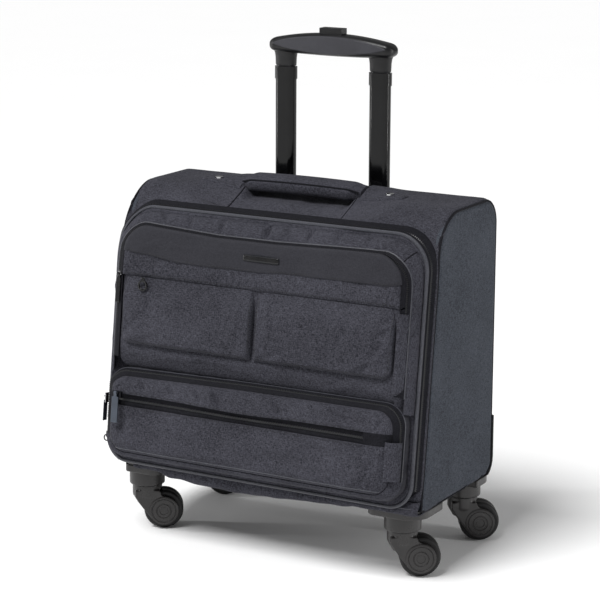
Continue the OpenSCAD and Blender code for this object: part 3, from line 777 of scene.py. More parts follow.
def hang(x, s):
    """The organizer's upper edge hangs down in the middle and is rounder at its right corner."""
    fall = np.interp(x, [-195, -160, -60, 20, 100, 150, 178, 195], [1.5, 4, 9.5, 9.5, 7, 6, 4, 2])
    right = step(x, 140, 186) * step(s, 250, 290)
    return x - 3.0 * right, s - fall * step(s, 256, 294) - 2.0 * right


def organizer_rails(rails, low):
    out = [even(*arc_rail(h, top, r, low, t)) for h, top, r, t in rails]
    for r in out:
        if r[0, 2] > 15:
            r[:, 0], r[:, 1] = hang(r[:, 0], r[:, 1])
    return out


# Gusset from the flap out to the zip; it puckers along the top and bulges
ga, gb = organizer_rails([(203.2, 308.0, 41, 7.2), (195.6, 299.6, 37, 20.6)], 112)
v = np.linspace(0, 1, 16)[None, :, None]
grid = ga[:, None] * (1 - v) + gb[:, None] * v
away = unit(np.stack([ga[:, 0] - gb[:, 0], ga[:, 1] - gb[:, 1]], -1) + 1e-9)
top_part = step(ga[:, 1], 296, 308)
pucker = np.zeros(len(ga))
for px, w, h in ((-168, 6, 1.6), (-140, 4, 2.2), (-105, 4, 2.6), (-60, 3.8, 4.2), (-30, 5, 1.8), (3, 3.8, 4.0),
                 (32, 5, 1.8), (60, 4, 4.0), (98, 4.5, 2.6), (138, 5, 2.4)):
    pucker += h * np.exp(-((ga[:, 0] - px) / w) ** 2)
bow = np.sin(np.pi * v[..., 0] ** 0.85) * np.ones((len(ga), 1))
bulge = bow * (3.2 - (pucker * top_part)[:, None] * 1.3 + 0.5 * ripple(41, 26, ga[:, 0], ga[:, 1])[:, None])
side_crease = folds(np.broadcast_to(ga[:, 1:2], bow.shape), np.broadcast_to(v[..., 0] * 14, bow.shape),
                    [(165, 7, 20, 8, 2.2, -1.6), (205, 8, -25, 9, 2.4, -1.4), (240, 6, 15, 8, 2.0, -1.2)])
bulge = bulge + side_crease * (1 - top_part)[:, None]
grid[..., 0] += away[:, 0:1] * bulge
grid[..., 1] += away[:, 1:2] * bulge
grid[..., 2] += bulge * 0.5
outer = front(grid[..., 0], grid[..., 1], grid[..., 2])
n = grid_normals(outer)
n *= np.sign((n[:, 8] * (outer[:, 8] - front(0, 160, 12))).sum(-1).mean())
slab("organizer_gusset", outer, outer - n * 1.2, FABRIC, "front_flap", lining=LINING)
k = int(np.argmin(np.abs(ga[:, 0] - 192) + (ga[:, 1] < 270) * 1e3))
tube("organizer_gusset_seam", outer[k] + n[k] * 0.1, 0.7, TAPE, "front_flap", sides=6)

# Zip round the organizer
cord_rail, tape_mid, teeth_rail, in_a, in_b = organizer_rails(
    [(195.6, 299.6, 37, 20.7), (193.6, 297.8, 36, 22.6), (191.3, 295.6, 35, 24.2), (190.0, 294.4, 34, 25.0),
     (185.2, 290.4, 31, 27.9)], 130)


def on_front_rail(r):
    return front(r[:, 0], r[:, 1], r[:, 2])


tube("organizer_zip_cord", on_front_rail(cord_rail), 1.1, PIPING, "front_flap", sides=6)
strip("organizer_outer_tape", [on_front_rail(r) for r in (cord_rail, tape_mid, teeth_rail)], 0.7, TAPE, "front_flap",
      flip=True)
high = teeth_rail[:, 1] > 233.5
low_left = ~high & (teeth_rail[:, 0] < 0)
low_right = ~high & (teeth_rail[:, 0] > 0)
strip("organizer_cover_tape", [on_front_rail(r[high]) for r in (teeth_rail, in_a, in_b)], 0.7, TAPE, "organizer_flap",
      flip=True)
for where, name in ((low_left, "organizer_left_tape"), (low_right, "organizer_right_tape")):
    strip(name, [on_front_rail(r[where] - np.array([0, 0, q])) for r, q in ((teeth_rail, 0), (in_a, 0.3), (in_b, 1.9))],
          0.7, TAPE, "front_flap", flip=True)
line3 = on_front_rail(teeth_rail + [0, 0, 0.3])
zipped = (teeth_rail[:, 1] > 176) & ~((teeth_rail[:, 0] > 0) & (teeth_rail[:, 1] < 224))
beads("organizer_outer_teeth", line3[zipped], FLAP_OUT, ZIP_PITCH, ZIP_TOOTH, TEETH, "front_flap", aside=0.5)
part = zipped & high
beads("organizer_cover_teeth", line3[part], FLAP_OUT, ZIP_PITCH, ZIP_TOOTH, TEETH, "organizer_flap", aside=-0.5,
      phase=0.5)

# Fabric tab below the zip's right end
s = np.linspace(118, 226, 60)
v = np.linspace(0, 1, 14)
s2, v2 = np.meshgrid(s, v, indexing="ij")
tx = 196.8 - 12.6 * v2
tt = 20.0 + 8.6 * np.sin(v2 * math.pi / 2) + 0.6 * np.sin(np.pi * v2) - 14 * (1 - step(s2, 116, 142)) * (1 - 0.4 * v2)
tt += folds(tx, s2, [(190, 160, 35, 9, 3, 0.9), (191, 188, 20, 8, 2.6, 0.8), (190, 211, 28, 8, 2.6, 0.6)])
slab("zip_end_tab", front(tx, s2, tt), front(tx - 0.8, s2, tt - 1.4), FABRIC, "front_flap", lining=LINING)

# Pouch front, which rolls back under its lower edge
POUCH = (-186, 186, 118, 231.6, 2, 18)
x, s, _ = patch(POUCH, pitch=3.0)
t = 7.5 + 17.3 * lift(s - 118, 30) + 0.5 * ripple(42, 60, x, s) * step(s, 130, 160)
t -= 1.5 * (1 - lift(186 - np.abs(x), 4))
t += folds(x, s, [(-52, 143, 1, 116, 3.6, 2.0), (150, 138, -24, 24, 4, 1.3), (118, 133, 12, 20, 3.4, 1.2),
                  (60, 139, 5, 34, 3.6, 1.0), (-20, 136, -4, 30, 3.5, 1.1),
                  (-110, 137, 3, 36, 4, 1.2), (-165, 141, -18, 14, 4, 1.2), (172, 146, 60, 14, 4, 1.2)])
slab("pouch_front", front(x, s, t), front(x, s, t - 2.2), FABRIC, "front_flap", lining=LINING,
     stands_for=("organizer_pouch",))

# Pleated pockets, their tops tucked under the cover's hem
POCKETS = {
    "pleated_pocket_left": ((-182.5, -2.2, 150, 231, 2, 13),
                            [(-168, 172, 42, 26, 5, -1.3), (-150, 163, 14, 30, 4, 1.1), (-40, 160, -18, 24, 4, -0.9),
                             (-22, 196, 82, 26, 4, 0.9), (-95, 205, 6, 50, 9, 0.7), (-140, 206, 70, 18, 5, -0.8)]),
    "pleated_pocket_right": ((1.2, 181.5, 150, 231, 2, 14),
                             [(160, 178, 58, 26, 4.5, -1.6), (169, 202, 40, 16, 4, -1.5), (148, 166, 30, 26, 4, 1.3),
                              (172, 216, 24, 12, 3.5, -1.3), (28, 160, 22, 22, 4, -1.0), (20, 200, 96, 26, 4, 0.9),
                              (90, 208, -5, 46, 8, 0.7), (128, 194, 66, 22, 5, 0.9)])}
for node, (outline, rows) in POCKETS.items():
    x, s, _ = patch(outline, pitch=2.2)
    left = node.endswith("left")
    a, b = spans(s[:, 0], *outline)
    a, b = (a, np.full_like(b, outline[1])) if left else (np.full_like(a, outline[0]), b)
    x = a[:, None] + (b - a)[:, None] * spread(x.shape[1], 0.5)
    full = inside(x, s, outline[0] - (0 if left else 60), outline[1] + (60 if left else 0), outline[2], 262, 2, 13)
    full = np.minimum(full, outline[1] - x if left else x - outline[0])
    t = 24.8 + 6.0 * lift(full, 6.0) + 3.4 * lift(full, 30)
    t -= 6.4 * step(s, 206, 231)
    t += (1.8 * folds(x, s, rows) + 0.45 * ripple(43, 34, x, s)) * lift(full, 9)
    slab(node + "_front", front(x, s, t), front(x, s, np.maximum(t - 2.6, 24.4)), FABRIC, "front_flap", lining=LINING,
         stands_for=(node,), sharp=50)
    a, b = outline[0] + 3.2, outline[1] - 3.2
    q = np.concatenate([line([a, 226], [a, 166], 60), arc(a + 11, 164, 11, 180, 270, 12),
                        line([a + 12, 153], [b - 12, 153], 120),
                        arc(b - 11, 164, 11, 270, 360, 12), line([b, 166], [b, 226], 60)])
    inset = np.full(len(q), 3.2)
    tq = 24.8 + 6.0 * lift(inset, 6.0) + 3.4 * lift(inset, 30) - 6.4 * step(q[:, 1], 206, 231)
    seam(node + "_stitches", front(q[:, 0], q[:, 1], tq + 0.1), FLAP_OUT, "front_flap")

# Cover: a textured band along the bottom hem and a smooth band over it
COVER = (-186.2, 186.2, 231.4, 296.6, 33, 1)
x, s, d = patch(COVER, pitch=2.6)
t = 26.6 + 2.2 * lift(d, 5) + 0.5 * lift(d, 40) + 0.35 * ripple(51, 46, x, s) * lift(d, 8)
x, s = hang(x, s)
slab("cover_textured_band", front(x, s, t), front(x, s, t - 2.6), FABRIC, "organizer_flap", lining=LINING,
     stands_for=("organizer_cover",), sharp=50)
q = np.column_stack([np.linspace(-181, 181, 500), np.full(500, 234.6)])
seam("cover_hem_stitches", front(q[:, 0], q[:, 1], 29.05), FLAP_OUT, "organizer_flap")


def band_low(x):
    """Lower edge of the smooth band; it rises in a cut corner at the right."""
    return np.interp(x, [-186, -150, -110, -60, 0, 60, 150, 166, 183, 186],
                     [260.5, 258, 253, 252, 253, 255, 255.5, 254.5, 258, 259])


u = spread(150, 0.5)
rows = spread(44, 0.7)
xx = -186.6 + 373.2 * u
top_s = np.empty_like(xx)
for i, vx in enumerate(xx):
    gap = max(abs(vx) - (186.6 - 33), 0)
    top_s[i] = 297.0 - 33 + math.sqrt(max(33 ** 2 - gap ** 2, 0))
low_s = band_low(xx)
s = low_s[:, None] + (np.maximum(top_s - low_s, 1.0))[:, None] * rows
x = np.repeat(xx[:, None], len(rows), 1)
d = inside(x, s, -186.6, 186.6, 200, 297.0, 33, 1)
t = 27.2 + 2.2 * lift(d, 5) + 0.5 * lift(d, 40) + 0.9 * lift(s - low_s[:, None], 2.2)
t += 0.45 * ripple(52, 52, x, s) * lift(d, 10) + folds(x, s, [(-70, 276, 4, 60, 5, 0.5), (60, 281, -6, 50, 5, 0.5),
                                                               (128, 268, -32, 26, 4, 0.7),
                                                               (-150, 270, 28, 24, 4, 0.6)])
x, s = hang(x, s)
slab("cover_smooth_band", front(x, s, t), front(x, s, t - 2.0), SMOOTH, "organizer_flap", lining=LINING, sharp=50)
q = np.column_stack([xx[4:-4], low_s[4:-4] + 2.4])
seam("smooth_band_stitches", front(q[:, 0], q[:, 1], 30.5), FLAP_OUT, "organizer_flap", lifted=0.35)
q = line([163, 232], [183, 249], 60)
seam("cover_corner_stitches", front(q[:, 0], q[:, 1], 29.1), FLAP_OUT, "organizer_flap", lifted=0.3)

# Blank plate
PLATE_BOX = (-19, 30, 264.6, 272.6, 2.5, 2.5)
x, s, d = patch(PLATE_BOX, pitch=1.0)
t = 30.6 + 1.5 * lift(d, 1.4)
sheet_on("blank_plate", x, s, t, 1.4, DARK_METAL, "organizer_flap")
x, s, d = patch((-17.6, 28.6, 265.9, 271.3, 1.5, 1.5), pitch=1.0)
sheet_on("blank_plate_face", x, s, 32.2 + 0.2 * lift(d, 0.8), 0.5, PLATE, "organizer_flap")

# ---- lower pocket -----------------------------------------------------------


def slumped(x, s):
    """The lower pocket's upper edge is lower towards its left end."""
    return s - np.interp(x, [-199, -180, -100, 0, 199], [5, 5, 3, 1, 0]) * step(s, 95, 117)


def pocket_rails(rails):
    paths = [(loop(-h, h, lo, hi, r, r), t) for h, lo, hi, r, t in rails]
    return [np.column_stack([p[:, 0], slumped(p[:, 0], p[:, 1]), np.full(len(p), float(t))]) for p, t in paths]


pa, pb = pocket_rails([(199.4, 11.0, 124.4, 27, 7.8), (198.9, 12.4, 123.4, 26, 19.4)])
v = np.linspace(0, 1, 14)[None, :, None]
grid = pa[:, None] * (1 - v) + pb[:, None] * v
away = np.stack([np.where(np.abs(pa[:, 0]) > 170, np.sign(pa[:, 0]), 0),
                 np.where(pa[:, 1] > 96, 1.0, np.where(pa[:, 1] < 40, -1.0, 0))], -1)
away = unit(away + 1e-9)
bulge = np.sin(np.pi * v[..., 0]) * (1.5 + 0.9 * ripple(61, 22, pa[:, 0], pa[:, 1])[:, None])
grid[..., 0] += away[:, 0:1] * bulge
grid[..., 1] += away[:, 1:2] * bulge * np.where(pa[:, 1:2] > 96, 0.5, 1.0)
outer = front(grid[..., 0], grid[..., 1], grid[..., 2])
n = grid_normals(outer, True)
n *= np.sign((n[:, 6] * (outer[:, 6] - front(0, 68, 12))).sum(-1).mean())
slab("pocket_gusset", outer, outer - n * 1.2, SMOOTH, "front_flap", wrap=True, lining=LINING,
     stands_for=("lower_pocket",))

zo, zm, zt, za, zb = pocket_rails([(198.9, 12.4, 123.4, 26, 19.4), (197.4, 13.6, 122.2, 25, 21.6),
                                   (195.6, 15.0, 120.6, 24, 23.8),
                                   (193.6, 16.4, 119.0, 23, 25.6), (188.4, 18.9, 115.2, 21, 29.0)])
tube("pocket_zip_cord", on_front_rail(zo), 1.0, PIPING, "front_flap", closed=True, sides=6)
up = np.flatnonzero(zt[:, 1] >= 36)
down = np.concatenate([np.arange(up[-1], len(zt)), np.arange(0, up[0] + 1)])
strip("pocket_outer_tape", [on_front_rail(r[up]) for r in (zo, zm, zt)], 0.7, TAPE, "front_flap", flip=True)
strip("pocket_inner_tape", [on_front_rail(r[up]) for r in (zt, za, zb)], 0.7, TAPE, FOLDING, flip=True)
swell = step(38 - zt[down, 1], 0, 14)
strip("pocket_foot_roll", [on_front_rail(r[down] + np.outer(swell, [0, 0, q]))
                           for r, q in ((zo, 0), (zm, 1.6), (zt, 2.6), (za, 2.8), (zb, 0.6))],
      1.6, FABRIC, "front_flap", flip=True)
run = np.flatnonzero(zt[:, 1] > 56)
teeth3 = on_front_rail(zt[run] + [0, 0, 0.5])
beads("pocket_outer_teeth", teeth3, FLAP_OUT, ZIP_PITCH, ZIP_TOOTH, TEETH, "front_flap", aside=0.5)
beads("pocket_inner_teeth", teeth3, FLAP_OUT, ZIP_PITCH, ZIP_TOOTH, TEETH, "pocket_flap", aside=-0.5, phase=0.5)

# Face of the pocket: the part above the fold goes with the lid
FACE = (-188.6, 188.6, 18.7, 115.4, 21, 21)
WINDOW = (-176.0, 157.0, 76.0, 90.5)
TOP_WRINKLES = [(-160, 102, -60, 8, 3.0, -2.4), (-143, 105, -62, 9, 3.0, -4.2), (-122, 103, -50, 9, 3.2, 2.0),
                (-103, 104, -58, 9, 3.0, -3.6), (-84, 105, -50, 9, 3.2, 2.2), (-66, 103, -60, 10, 3.0, -4.4),
                (-47, 104, -66, 9, 2.8, 2.8), (-38, 100, -58, 10, 3.0, -3.8), (-14, 103, -30, 13, 3.2, 2.2),
                (10, 103, -40, 12, 3.0, -2.4), (42, 102, -48, 13, 3.2, -4.0), (66, 104, -40, 12, 3.2, 2.4),
                (92, 102, -50, 11, 3.0, -2.8), (120, 103, -20, 14, 3.0, -2.6), (150, 105, -40, 12, 3.0, 2.6),
                (172, 94, 64, 16, 3.2, -2.4), (-174, 98, 52, 14, 3.2, -1.8)]
FACE_WRINKLES = [(-150, 62, 22, 24, 5, -0.9), (-90, 55, -8, 44, 7, 0.9), (20, 50, 6, 60, 8, 0.9),
                 (110, 58, -14, 34, 6, -0.9),
                 (165, 48, 66, 24, 5, -1.4), (150, 34, 30, 24, 5, 1.2), (176, 66, 40, 14, 4, 1.2),
                 (-168, 40, -40, 20, 5, 1.1),
                 (-60, 30, 4, 60, 5, 0.8), (70, 28, -5, 60, 5, 0.8)]


def face_t(x, s):
    d = inside(x, s, *FACE)
    t = 28.2 + 6.0 * lift(d, 11) + 5.4 * lift(d, 46)
    t += (folds(x, s, TOP_WRINKLES) * step(s, 91, 97)
          + 1.7 * folds(x, s, FACE_WRINKLES) * (1 - step(s, 70, 78))) * lift(d, 8)
    t += 0.5 * ripple(71, 44, x, s) * lift(d, 14) + 0.35 * ripple(72, 20, x, s) * step(s, 90, 96) * lift(d, 8)
    lip = np.exp(-((x + 10) / 60) ** 2)
    t += 0.8 * np.exp(-((s - 92.5) / 4) ** 2) + 0.5 * np.exp(-((s - 77) / 3) ** 2)
    return t + 0.8 * lip * np.exp(-((s - 93) / 5) ** 2)


def sagged(x, s):
    """The upper lip of the slip zip sags a little at its middle."""
    above = np.maximum(s - WINDOW[3], 0)
    return s - 2.3 * np.exp(-((x + 10) / 62) ** 2) * np.exp(-(above / 9) ** 2) * (s >= WINDOW[3] - 0.01)


def face_part(name, low, high, body, material, x0=None, x1=None, drop=0.0, thick=2.6, stands_for=()):
    rows = low + (high - low) * spread(int((high - low) / 1.8) + 8, 0.8 if high - low > 12 else 0.3)
    a, b = spans(rows, *FACE)
    a, b = (a if x0 is None else np.full_like(a, x0)), (b if x1 is None else np.full_like(b, x1))
    u = spread(int((b[0] - a[0]) / 1.7) + 10, 0.5)
    x = a[:, None] + (b - a)[:, None] * u
    s = np.repeat(rows[:, None], len(u), 1)
    t = face_t(x, s) - drop
    s = slumped(x, sagged(x, s))
    slab(name, front(x, s, t), front(x, s, t - thick), material, body, lining=LINING, stands_for=stands_for, sharp=50)


face_part("pocket_front_lower", 18.7, WINDOW[2], FOLDING, FABRIC)
face_part("pocket_lid_upper", WINDOW[3], 115.4, "pocket_flap", FABRIC, stands_for=("pocket_lid",))
face_part("pocket_lid_left_end", WINDOW[2], WINDOW[3], "pocket_flap", FABRIC, x1=WINDOW[0])
face_part("pocket_lid_right_end", WINDOW[2], WINDOW[3], "pocket_flap", TAPE, x0=WINDOW[1])
face_part("slip_zip_tape", WINDOW[2] - 2, WINDOW[3] + 1.5, "pocket_flap", TAPE, WINDOW[0] - 2, WINDOW[1] + 2, drop=3.2,
          thick=0.7)
q = np.linspace(WINDOW[0], WINDOW[1], 300)
mid = (WINDOW[2] + WINDOW[3]) / 2 - 1.0 * np.exp(-((q + 10) / 62) ** 2)
slip = front(q, mid, face_t(q, mid) - 2.6)
beads("slip_zip_upper_teeth", slip, FLAP_OUT, ZIP_PITCH, ZIP_TOOTH, TEETH, "pocket_flap", aside=0.5)
beads("slip_zip_lower_teeth", slip, FLAP_OUT, ZIP_PITCH, ZIP_TOOTH, TEETH, "pocket_flap", aside=-0.5, phase=0.5)
for name, level in (("slip_zip_lower_stitches", WINDOW[2] - 1.6), ("slip_zip_upper_stitches", WINDOW[3] + 1.8)):
    s = np.full_like(q, level)
    seam(name, front(q, sagged(q, s), face_t(q, s)), FLAP_OUT, "pocket_flap", lifted=0.2)
q = np.linspace(-178, 178, 320)
s = np.full_like(q, 23.4)
tube("pocket_front_foot_seam", front(q, s, face_t(q, s) - 0.3), 0.8, PIPING, "front_flap", sides=6)

# Fabric tab at the pocket's right end
s, v = np.meshgrid(np.linspace(38, 82, 60), np.linspace(0, 1, 16), indexing="ij")
tx = 184.5 + 15.2 * np.sin(v * math.pi / 2)
creases = folds(tx, s, [(192, 70, 30, 9, 3, 1.4), (190, 54, -20, 9, 3, -1.2)])
tt = 38.9 - 13.4 * (1 - np.cos(v * math.pi / 2)) + 0.7 * creases
slab("pocket_side_tab", front(tx, s, tt), front(tx - 0.6, s, tt - 1.5), FABRIC, FOLDING, lining=LINING)

# ---- carry handle, laptop sleeve --------------------------------------------


def loft(name, sections, material, body, power=2.6, sides=40, **rest):
    """A closed form through sections, each (centre, half axis a, half axis b), with superellipse outlines."""
    a = np.linspace(0, 2 * np.pi, sides, endpoint=False)
    ca, sa = np.cos(a), np.sin(a)
    ca, sa = np.sign(ca) * np.abs(ca) ** (2 / power), np.sign(sa) * np.abs(sa) ** (2 / power)
    rings = np.array([c + ca[:, None] * np.asarray(p) + sa[:, None] * np.asarray(q) for c, p, q in sections])
    return piece(name, rings.reshape(-1, 3), ring_faces(len(rings), sides), material, body, **rest)


x = 80 * (2 * spread(90, 0.6) - 1)
end = step(np.abs(x), 64, 80)
handle_z = 428.6 + 1.6 * (1 - (x / 80) ** 2) - 1.0 * end
sections = [(np.array([xx, 1.0 + 3.0 * e, zz]), [0, 14.0 - 3.0 * e, 3.4], [0, -1.6, 8.8 - 2.4 * e])
            for xx, zz, e in zip(x, handle_z, end)]
loft("carry_handle_pad", sections, FABRIC, "case", power=3.0, stands_for=("carry_handle",))
for side, name in ((-1, "left"), (1, "right")):
    u, v = np.meshgrid(spread(50, 0.6), spread(24, 0.6), indexing="ij")
    sx = 80 + 56 * u
    wide = 11.5 - 2.5 * step(sx, 112, 136)
    sy = -2 + wide * (2 * v - 1)
    edge = np.minimum(np.minimum(sx - 80, 136 - sx), wide - np.abs(sy + 2))
    sz = side_top(sx, sy) + 0.3 + 1.6 * lift(edge, 2.5)
    sz = np.minimum(sz, np.where(np.hypot(sx - 116, sy + 2) < 7, 429.6, 500))
    slab(f"handle_strap_{name}", np.stack([side * sx, sy, sz], -1), np.stack([side * sx, sy, sz - 2.0], -1), FABRIC,
         "case")
    q = np.concatenate([line([84, -11.5], [131, -9.5], 30), line([133, -8], [133, 4], 12),
                        line([131, 5.5], [84, 7.5], 30)])
    path = np.column_stack([side * q[:, 0], q[:, 1], side_top(q[:, 0], q[:, 1]) + 1.8])
    seam(f"handle_strap_{name}_stitches", path, [0, 0, 1.0], "case")
upper = np.column_stack([x, np.full_like(x, -12.2 + 3 * end), handle_z + 3.8 - 1.6 * end])
tube("carry_handle_piping", upper[2:-2], 1.0, TAPE, "case", sides=6)

# Laptop sleeve: a quilted pocket of thin foam
low_c, high_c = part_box("laptop_sleeve")
low_c, high_c = np.array(low_c) * 1000, np.array(high_c) * 1000
for name, y0, side in (("sleeve_front_pad", low_c[1], -1), ("sleeve_back_pad", high_c[1], 1)):
    x, z, d = patch((low_c[0], high_c[0], low_c[2], high_c[2], 14, 10), pitch=5)
    puff = 0.6 * np.cos(x * math.pi / 60) ** 2 * lift(d, 20)
    face = y0 + side * (-2.2 + 2.0 * lift(d, 5) + puff - 0.5)
    back = y0 - side * 4.4 * lift(d, 5)
    slab(name, np.stack([x, face, z], -1), np.stack([x, back, z], -1), LINING, "case",
                   stands_for=("laptop_sleeve",) if side < 0 else ())
q = np.concatenate([line([low_c[0], high_c[2] - 8], [low_c[0], low_c[2] + 8], 40),
                    arc(low_c[0] + 8, low_c[2] + 8, 8, 180, 270, 8),
                    line([low_c[0] + 8, low_c[2]], [high_c[0] - 8, low_c[2]], 60),
                    arc(high_c[0] - 8, low_c[2] + 8, 8, 270, 360, 8),
                    line([high_c[0], low_c[2] + 8], [high_c[0], high_c[2] - 8], 40)])
outer = np.stack([np.column_stack([q[:, 0], np.full(len(q), yy), q[:, 1]])
                  for yy in np.linspace(low_c[1] + 2, high_c[1] - 2, 14)], 1)
slab("sleeve_gusset", outer, outer * [0.995, 1, 1] + [0, 0, 1.2], LINING, "case")

# ---- pull handle ------------------------------------------------------------

HALF = 85.5
GRIP_Y = 70.0
x = HALF * (2 * spread(90, 0.85) - 1)
grow = np.sqrt(np.maximum(1 - (np.maximum(np.abs(x) - (HALF - 10.5), 0) / 10.5) ** 2, 0.0009))
top_z = 604.0 - 8 * (x / 77) ** 2
low_z = 577.0 + 2 * (x / 77) ** 2
mid_z, half_z = (top_z + low_z) / 2, (top_z - low_z) / 2 * grow
sections = [(np.array([xx, GRIP_Y, zz]), [0, (13.9 - 1.2 * (xx / HALF) ** 2) * g, 0], [0, 0, h])
            for xx, zz, g, h in zip(x, mid_z, grow, half_z)]
loft("grip_body", sections, GRIP, "narrow_stage", power=3.0, sides=48, stands_for=("grip_shell",))
for side, name in ((-1, "left"), (1, "right")):
    a = np.linspace(0, 2 * np.pi, 40, endpoint=False)
    rows = []
    for z, grow in ((562, -0.6), (562.3, 0.2), (563.2, 0.6), (572, 0.9), (577, 1.6), (581, 3.0)):
        rows.append(np.column_stack([side * 64.4 + (12.9 + grow) * np.sign(np.cos(a)) * np.abs(np.cos(a)) ** 0.7,
                                     GRIP_Y + (7.0 + grow) * np.sign(np.sin(a)) * np.abs(np.sin(a)) ** 0.9,
                                     np.full(40, float(z))]))
    rings = np.array(rows)
    faces = np.concatenate([quads(len(rows), 40), np.stack([np.arange(len(rows) - 1) * 40 + 39,
                                                            np.arange(len(rows) - 1) * 40,
                            np.arange(1, len(rows)) * 40, np.arange(1, len(rows)) * 40 + 39], -1)]).tolist()
    faces += [list(range(40)), list(range((len(rows) - 1) * 40, len(rows) * 40))]
    piece(f"grip_neck_{name}", rings.reshape(-1, 3), faces, GRIP, "narrow_stage")

# Lens-shaped insert on the grip's front, with a fine grained face
u = 2 * spread(120, 0.7) - 1
v = 2 * spread(20, 0.6) - 1
uu, vv = np.meshgrid(u, v, indexing="ij")
ix = uu * 77.0
iz = 589.5 + 1.2 * (1 - uu ** 2) + vv * (10.5 * (1 - uu ** 2) ** 0.8 + 0.15)
edge = (1 - np.abs(vv)) * 10.5 * (1 - uu ** 2) ** 0.8
iy = GRIP_Y - 13.6 + 1.0 * uu ** 2 - 0.9 * lift(edge, 1.2)
slab("grip_front_insert", np.stack([ix, iy, iz], -1), np.stack([ix, iy + 2.4, iz], -1), INSERT, "narrow_stage",
     stands_for=("grip_insert",))
soften("grip_button", GRIP, "grip_release", 0.5, 5)

# ---- casters ----------------------------------------------------------------

for corner in ("front_left", "front_right", "rear_left", "rear_right"):
    moulded = soften(f"{corner}_housing", CASTER, "case", 0.9, 8)
    if corner == "front_left":
        stem_x, flange_z = -0.180, 0.074
        for v in moulded.data.vertices:     # its flange keeps inside the case's drawn-in corner
            if v.co.x < stem_x and v.co.z > flange_z:
                v.co.x = stem_x + (v.co.x - stem_x) * 0.45
CASTER_AT = {"front_left": (-176.0, -76.0), "front_right": (176.0, -76.0), "rear_left": (-180.0, 76.0),
             "rear_right": (180.0, 76.0)}
HEADING = math.radians(33)
WHEEL_R, TRAIL = 24.0, 20           # the wheel runs this far behind its swivel axis


def lathe(name, profile, centre, axis, material, body, sides=64, **rest):
    """A turned piece: profile is (radius, distance along axis), closed on the axis at both ends."""
    axis = unit(np.asarray(axis, float))
    ref = unit(np.cross(axis, [0.1, 0.2, 1.0]))
    other = np.cross(axis, ref)
    a = np.linspace(0, 2 * np.pi, sides, endpoint=False)
    around = np.cos(a)[:, None] * ref + np.sin(a)[:, None] * other
    centre = np.asarray(centre, float)
    rings = np.array([centre + axis * h + max(r, 0.02) * around for r, h in profile])
    return piece(name, rings.reshape(-1, 3), ring_faces(len(rings), sides), material, body, **rest)


for corner, (cx, cy) in CASTER_AT.items():
    body, wheel = f"{corner}_caster", f"{corner}_wheel"
    ahead = np.array([math.cos(HEADING), math.sin(HEADING), 0])
    axle = np.array([-math.sin(HEADING), math.cos(HEADING), 0])
    centre = np.array([cx, cy, WHEEL_R]) + ahead * TRAIL
    soften(f"{corner}_fork", CASTER, body, 0.8, 9)
    for side, label in ((-1, "outer"), (1, "inner")):
        disc = [(17.6, 16.2), (18.0, 16.7), (17.8, 17.4), (17.0, 17.7), (15.2, 17.8), (14.8, 17.3), (14.3, 17.3),
                (13.9, 17.9), (9.4, 18.2), (9.0, 17.7), (8.5, 17.7), (8.1, 18.3), (5.2, 18.4), (4.8, 17.8),
                (0.0, 17.9)]
        lathe(f"{corner}_{label}_disc", [(0.0, 15.9)] + disc, centre, axle * side, CASTER, body, sharp=30)
    lathe(f"{corner}_neck_ring", [(0, 55.1), (18.0, 55.1), (18.9, 55.4), (19.0, 55.8), (18.8, 56.2), (0, 56.2)],
          [cx, cy, 0], [0, 0, 1], SHELL, body)
    r = WHEEL_R
    tread = [(16.6, -11.4), (17.6, -11.6), (20.2, -11.5)]
    tread += [(20.5 + 3.5 * math.sin(q), -8.0 - 3.5 * math.cos(q)) for q in np.radians(np.linspace(8, 90, 8))]
    tread += [(r, v) for v in (-6.5, -2.6, -2.2)] + [(r - 0.5, v) for v in (-1.9, 1.9)]
    tread += [(r, v) for v in (2.2, 2.6, 6.5)]
    tread += [(20.5 + 3.5 * math.sin(q), 8.0 + 3.5 * math.cos(q)) for q in np.radians(np.linspace(90, 8, 8))]
    tread += [(20.2, 11.5), (17.6, 11.6), (16.6, 11.4)]
    lathe(f"{corner}_tread", [(0, -9.6), (16.4, -9.6)] + tread + [(16.4, 9.6), (0, 9.6)], centre, axle, RUBBER, wheel,
          sides=96, stands_for=(f"{corner}_tyre",), sharp=30)

# ---- zip sliders, pullers and rings -----------------------------------------

METAL_VOXEL = 0.35
LOWER_ZIP_X, LOWER_ZIP_THIN = -0.1985, 0.35     # metres, and the share of its thickness that is kept
PULL_SIZE = 0.62                    # the main zip's pull, as a share of its CAD size
for node, body, material in (
        ("organizer_zip_puller", "organizer_puller", PLATE), ("lower_zip_puller", "lower_puller", PULL_METAL),
        ("slip_zip_puller", "slip_puller", PULL_METAL), ("main_zip_pull", "main_slider", DARK_METAL),
        ("flap_ring_pull", "flap_ring", PLATE), ("lower_zip_slider", "lower_slider", CHROME),
        ("organizer_zip_slider", "organizer_slider", CHROME)):
    moulded = soften(node, material, body, METAL_VOXEL, 4)
    if node.startswith("lower_zip"):
        for v in moulded.data.vertices:         # thinner than the CAD's, close to the pocket's side
            v.co.x = LOWER_ZIP_X + (v.co.x - LOWER_ZIP_X) * LOWER_ZIP_THIN
    if node == "main_zip_pull":
        seat = Vector(front(-212.5, 14, 0) * MM)     # smaller, and on the lower end of the zip's tape
        tape_end = Vector(front(-210.5, 31, 0.5) * MM)
        for v in moulded.data.vertices:
            v.co = tape_end + (v.co - seat) * PULL_SIZE

# ---- camera, light and floor ------------------------------------------------

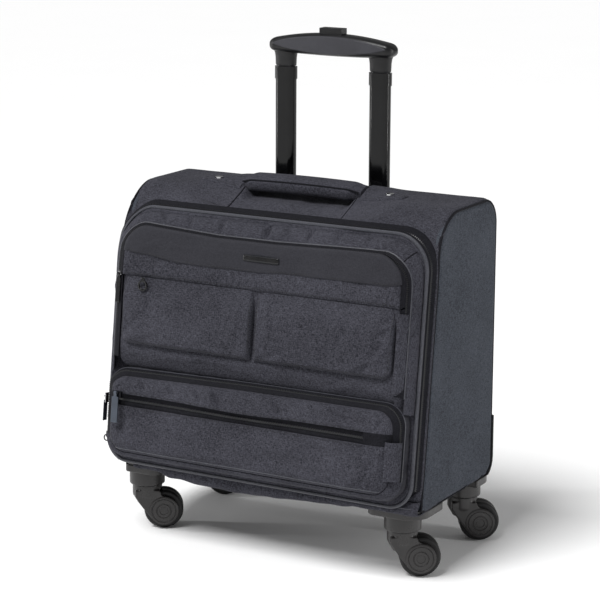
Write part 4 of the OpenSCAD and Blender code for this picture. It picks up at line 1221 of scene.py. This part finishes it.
scene = bpy.context.scene
lens = bpy.data.cameras.new("camera")
lens.lens, lens.sensor_width, lens.clip_end = 133.51, 36.0, 30.0
camera = bpy.data.objects.new("camera", lens)
scene.collection.objects.link(camera)
eye = Vector((1.27534, -2.26731, 0.88059))
forward = Vector((-0.47935442, 0.84933009, -0.22103788))
right = Vector((0.87040816, 0.49231386, 0.00408517))
up_axis = Vector((-0.11228967, 0.19043493, 0.97525667))
camera.matrix_world = Matrix((
    (right.x, up_axis.x, -forward.x, eye.x), (right.y, up_axis.y, -forward.y, eye.y),
    (right.z, up_axis.z, -forward.z, eye.z), (0, 0, 0, 1)))
scene.camera = camera

floor_mesh = bpy.data.meshes.new("floor")
floor_mesh.from_pydata([(-18, -18, 0), (18, -18, 0), (18, 18, 0), (-18, 18, 0)], [], [(0, 1, 2, 3)])
floor = bpy.data.objects.new("floor", floor_mesh)
scene.collection.objects.link(floor)
paper = Finish("pale_floor", None, Roughness=0.6, Specular_IOR_Level=0.2)
paper.colour(paper.ramp(paper.noise(3.0, 2.0), [(0.3, (0.972, 0.972, 0.972)), (0.7, (0.978, 0.978, 0.978))]))
floor_mesh.materials.append(paper.material)

world = bpy.data.worlds.new("studio")
world.use_nodes = True
world.node_tree.nodes["Background"].inputs["Color"].default_value = (1, 1, 1, 1)
world.node_tree.nodes["Background"].inputs["Strength"].default_value = 0.24
scene.world = world
scene.view_settings.view_transform = "Standard"


def softbox(name, place, aim, width, height, power):
    data = bpy.data.lights.new(name, "AREA")
    data.shape, data.size, data.size_y, data.energy = "RECTANGLE", width, height, power
    light = bpy.data.objects.new(name, data)
    scene.collection.objects.link(light)
    light.location = place
    light.rotation_euler = (Vector(aim) - Vector(place)).to_track_quat("-Z", "Y").to_euler()


sun = bpy.data.lights.new("key", "SUN")
sun.energy, sun.angle = 3.2, math.radians(26)
key = bpy.data.objects.new("key", sun)
scene.collection.objects.link(key)
key.rotation_euler = Vector((-0.16, -0.52, 0.84)).to_track_quat("Z", "Y").to_euler()
softbox("left_strip", (-2.2, -1.0, 0.9), (0, 0, 0.3), 0.09, 1.7, 16)
softbox("right_strip", (2.4, 0.2, 0.9), (0, 0, 0.3), 0.09, 1.7, 16)
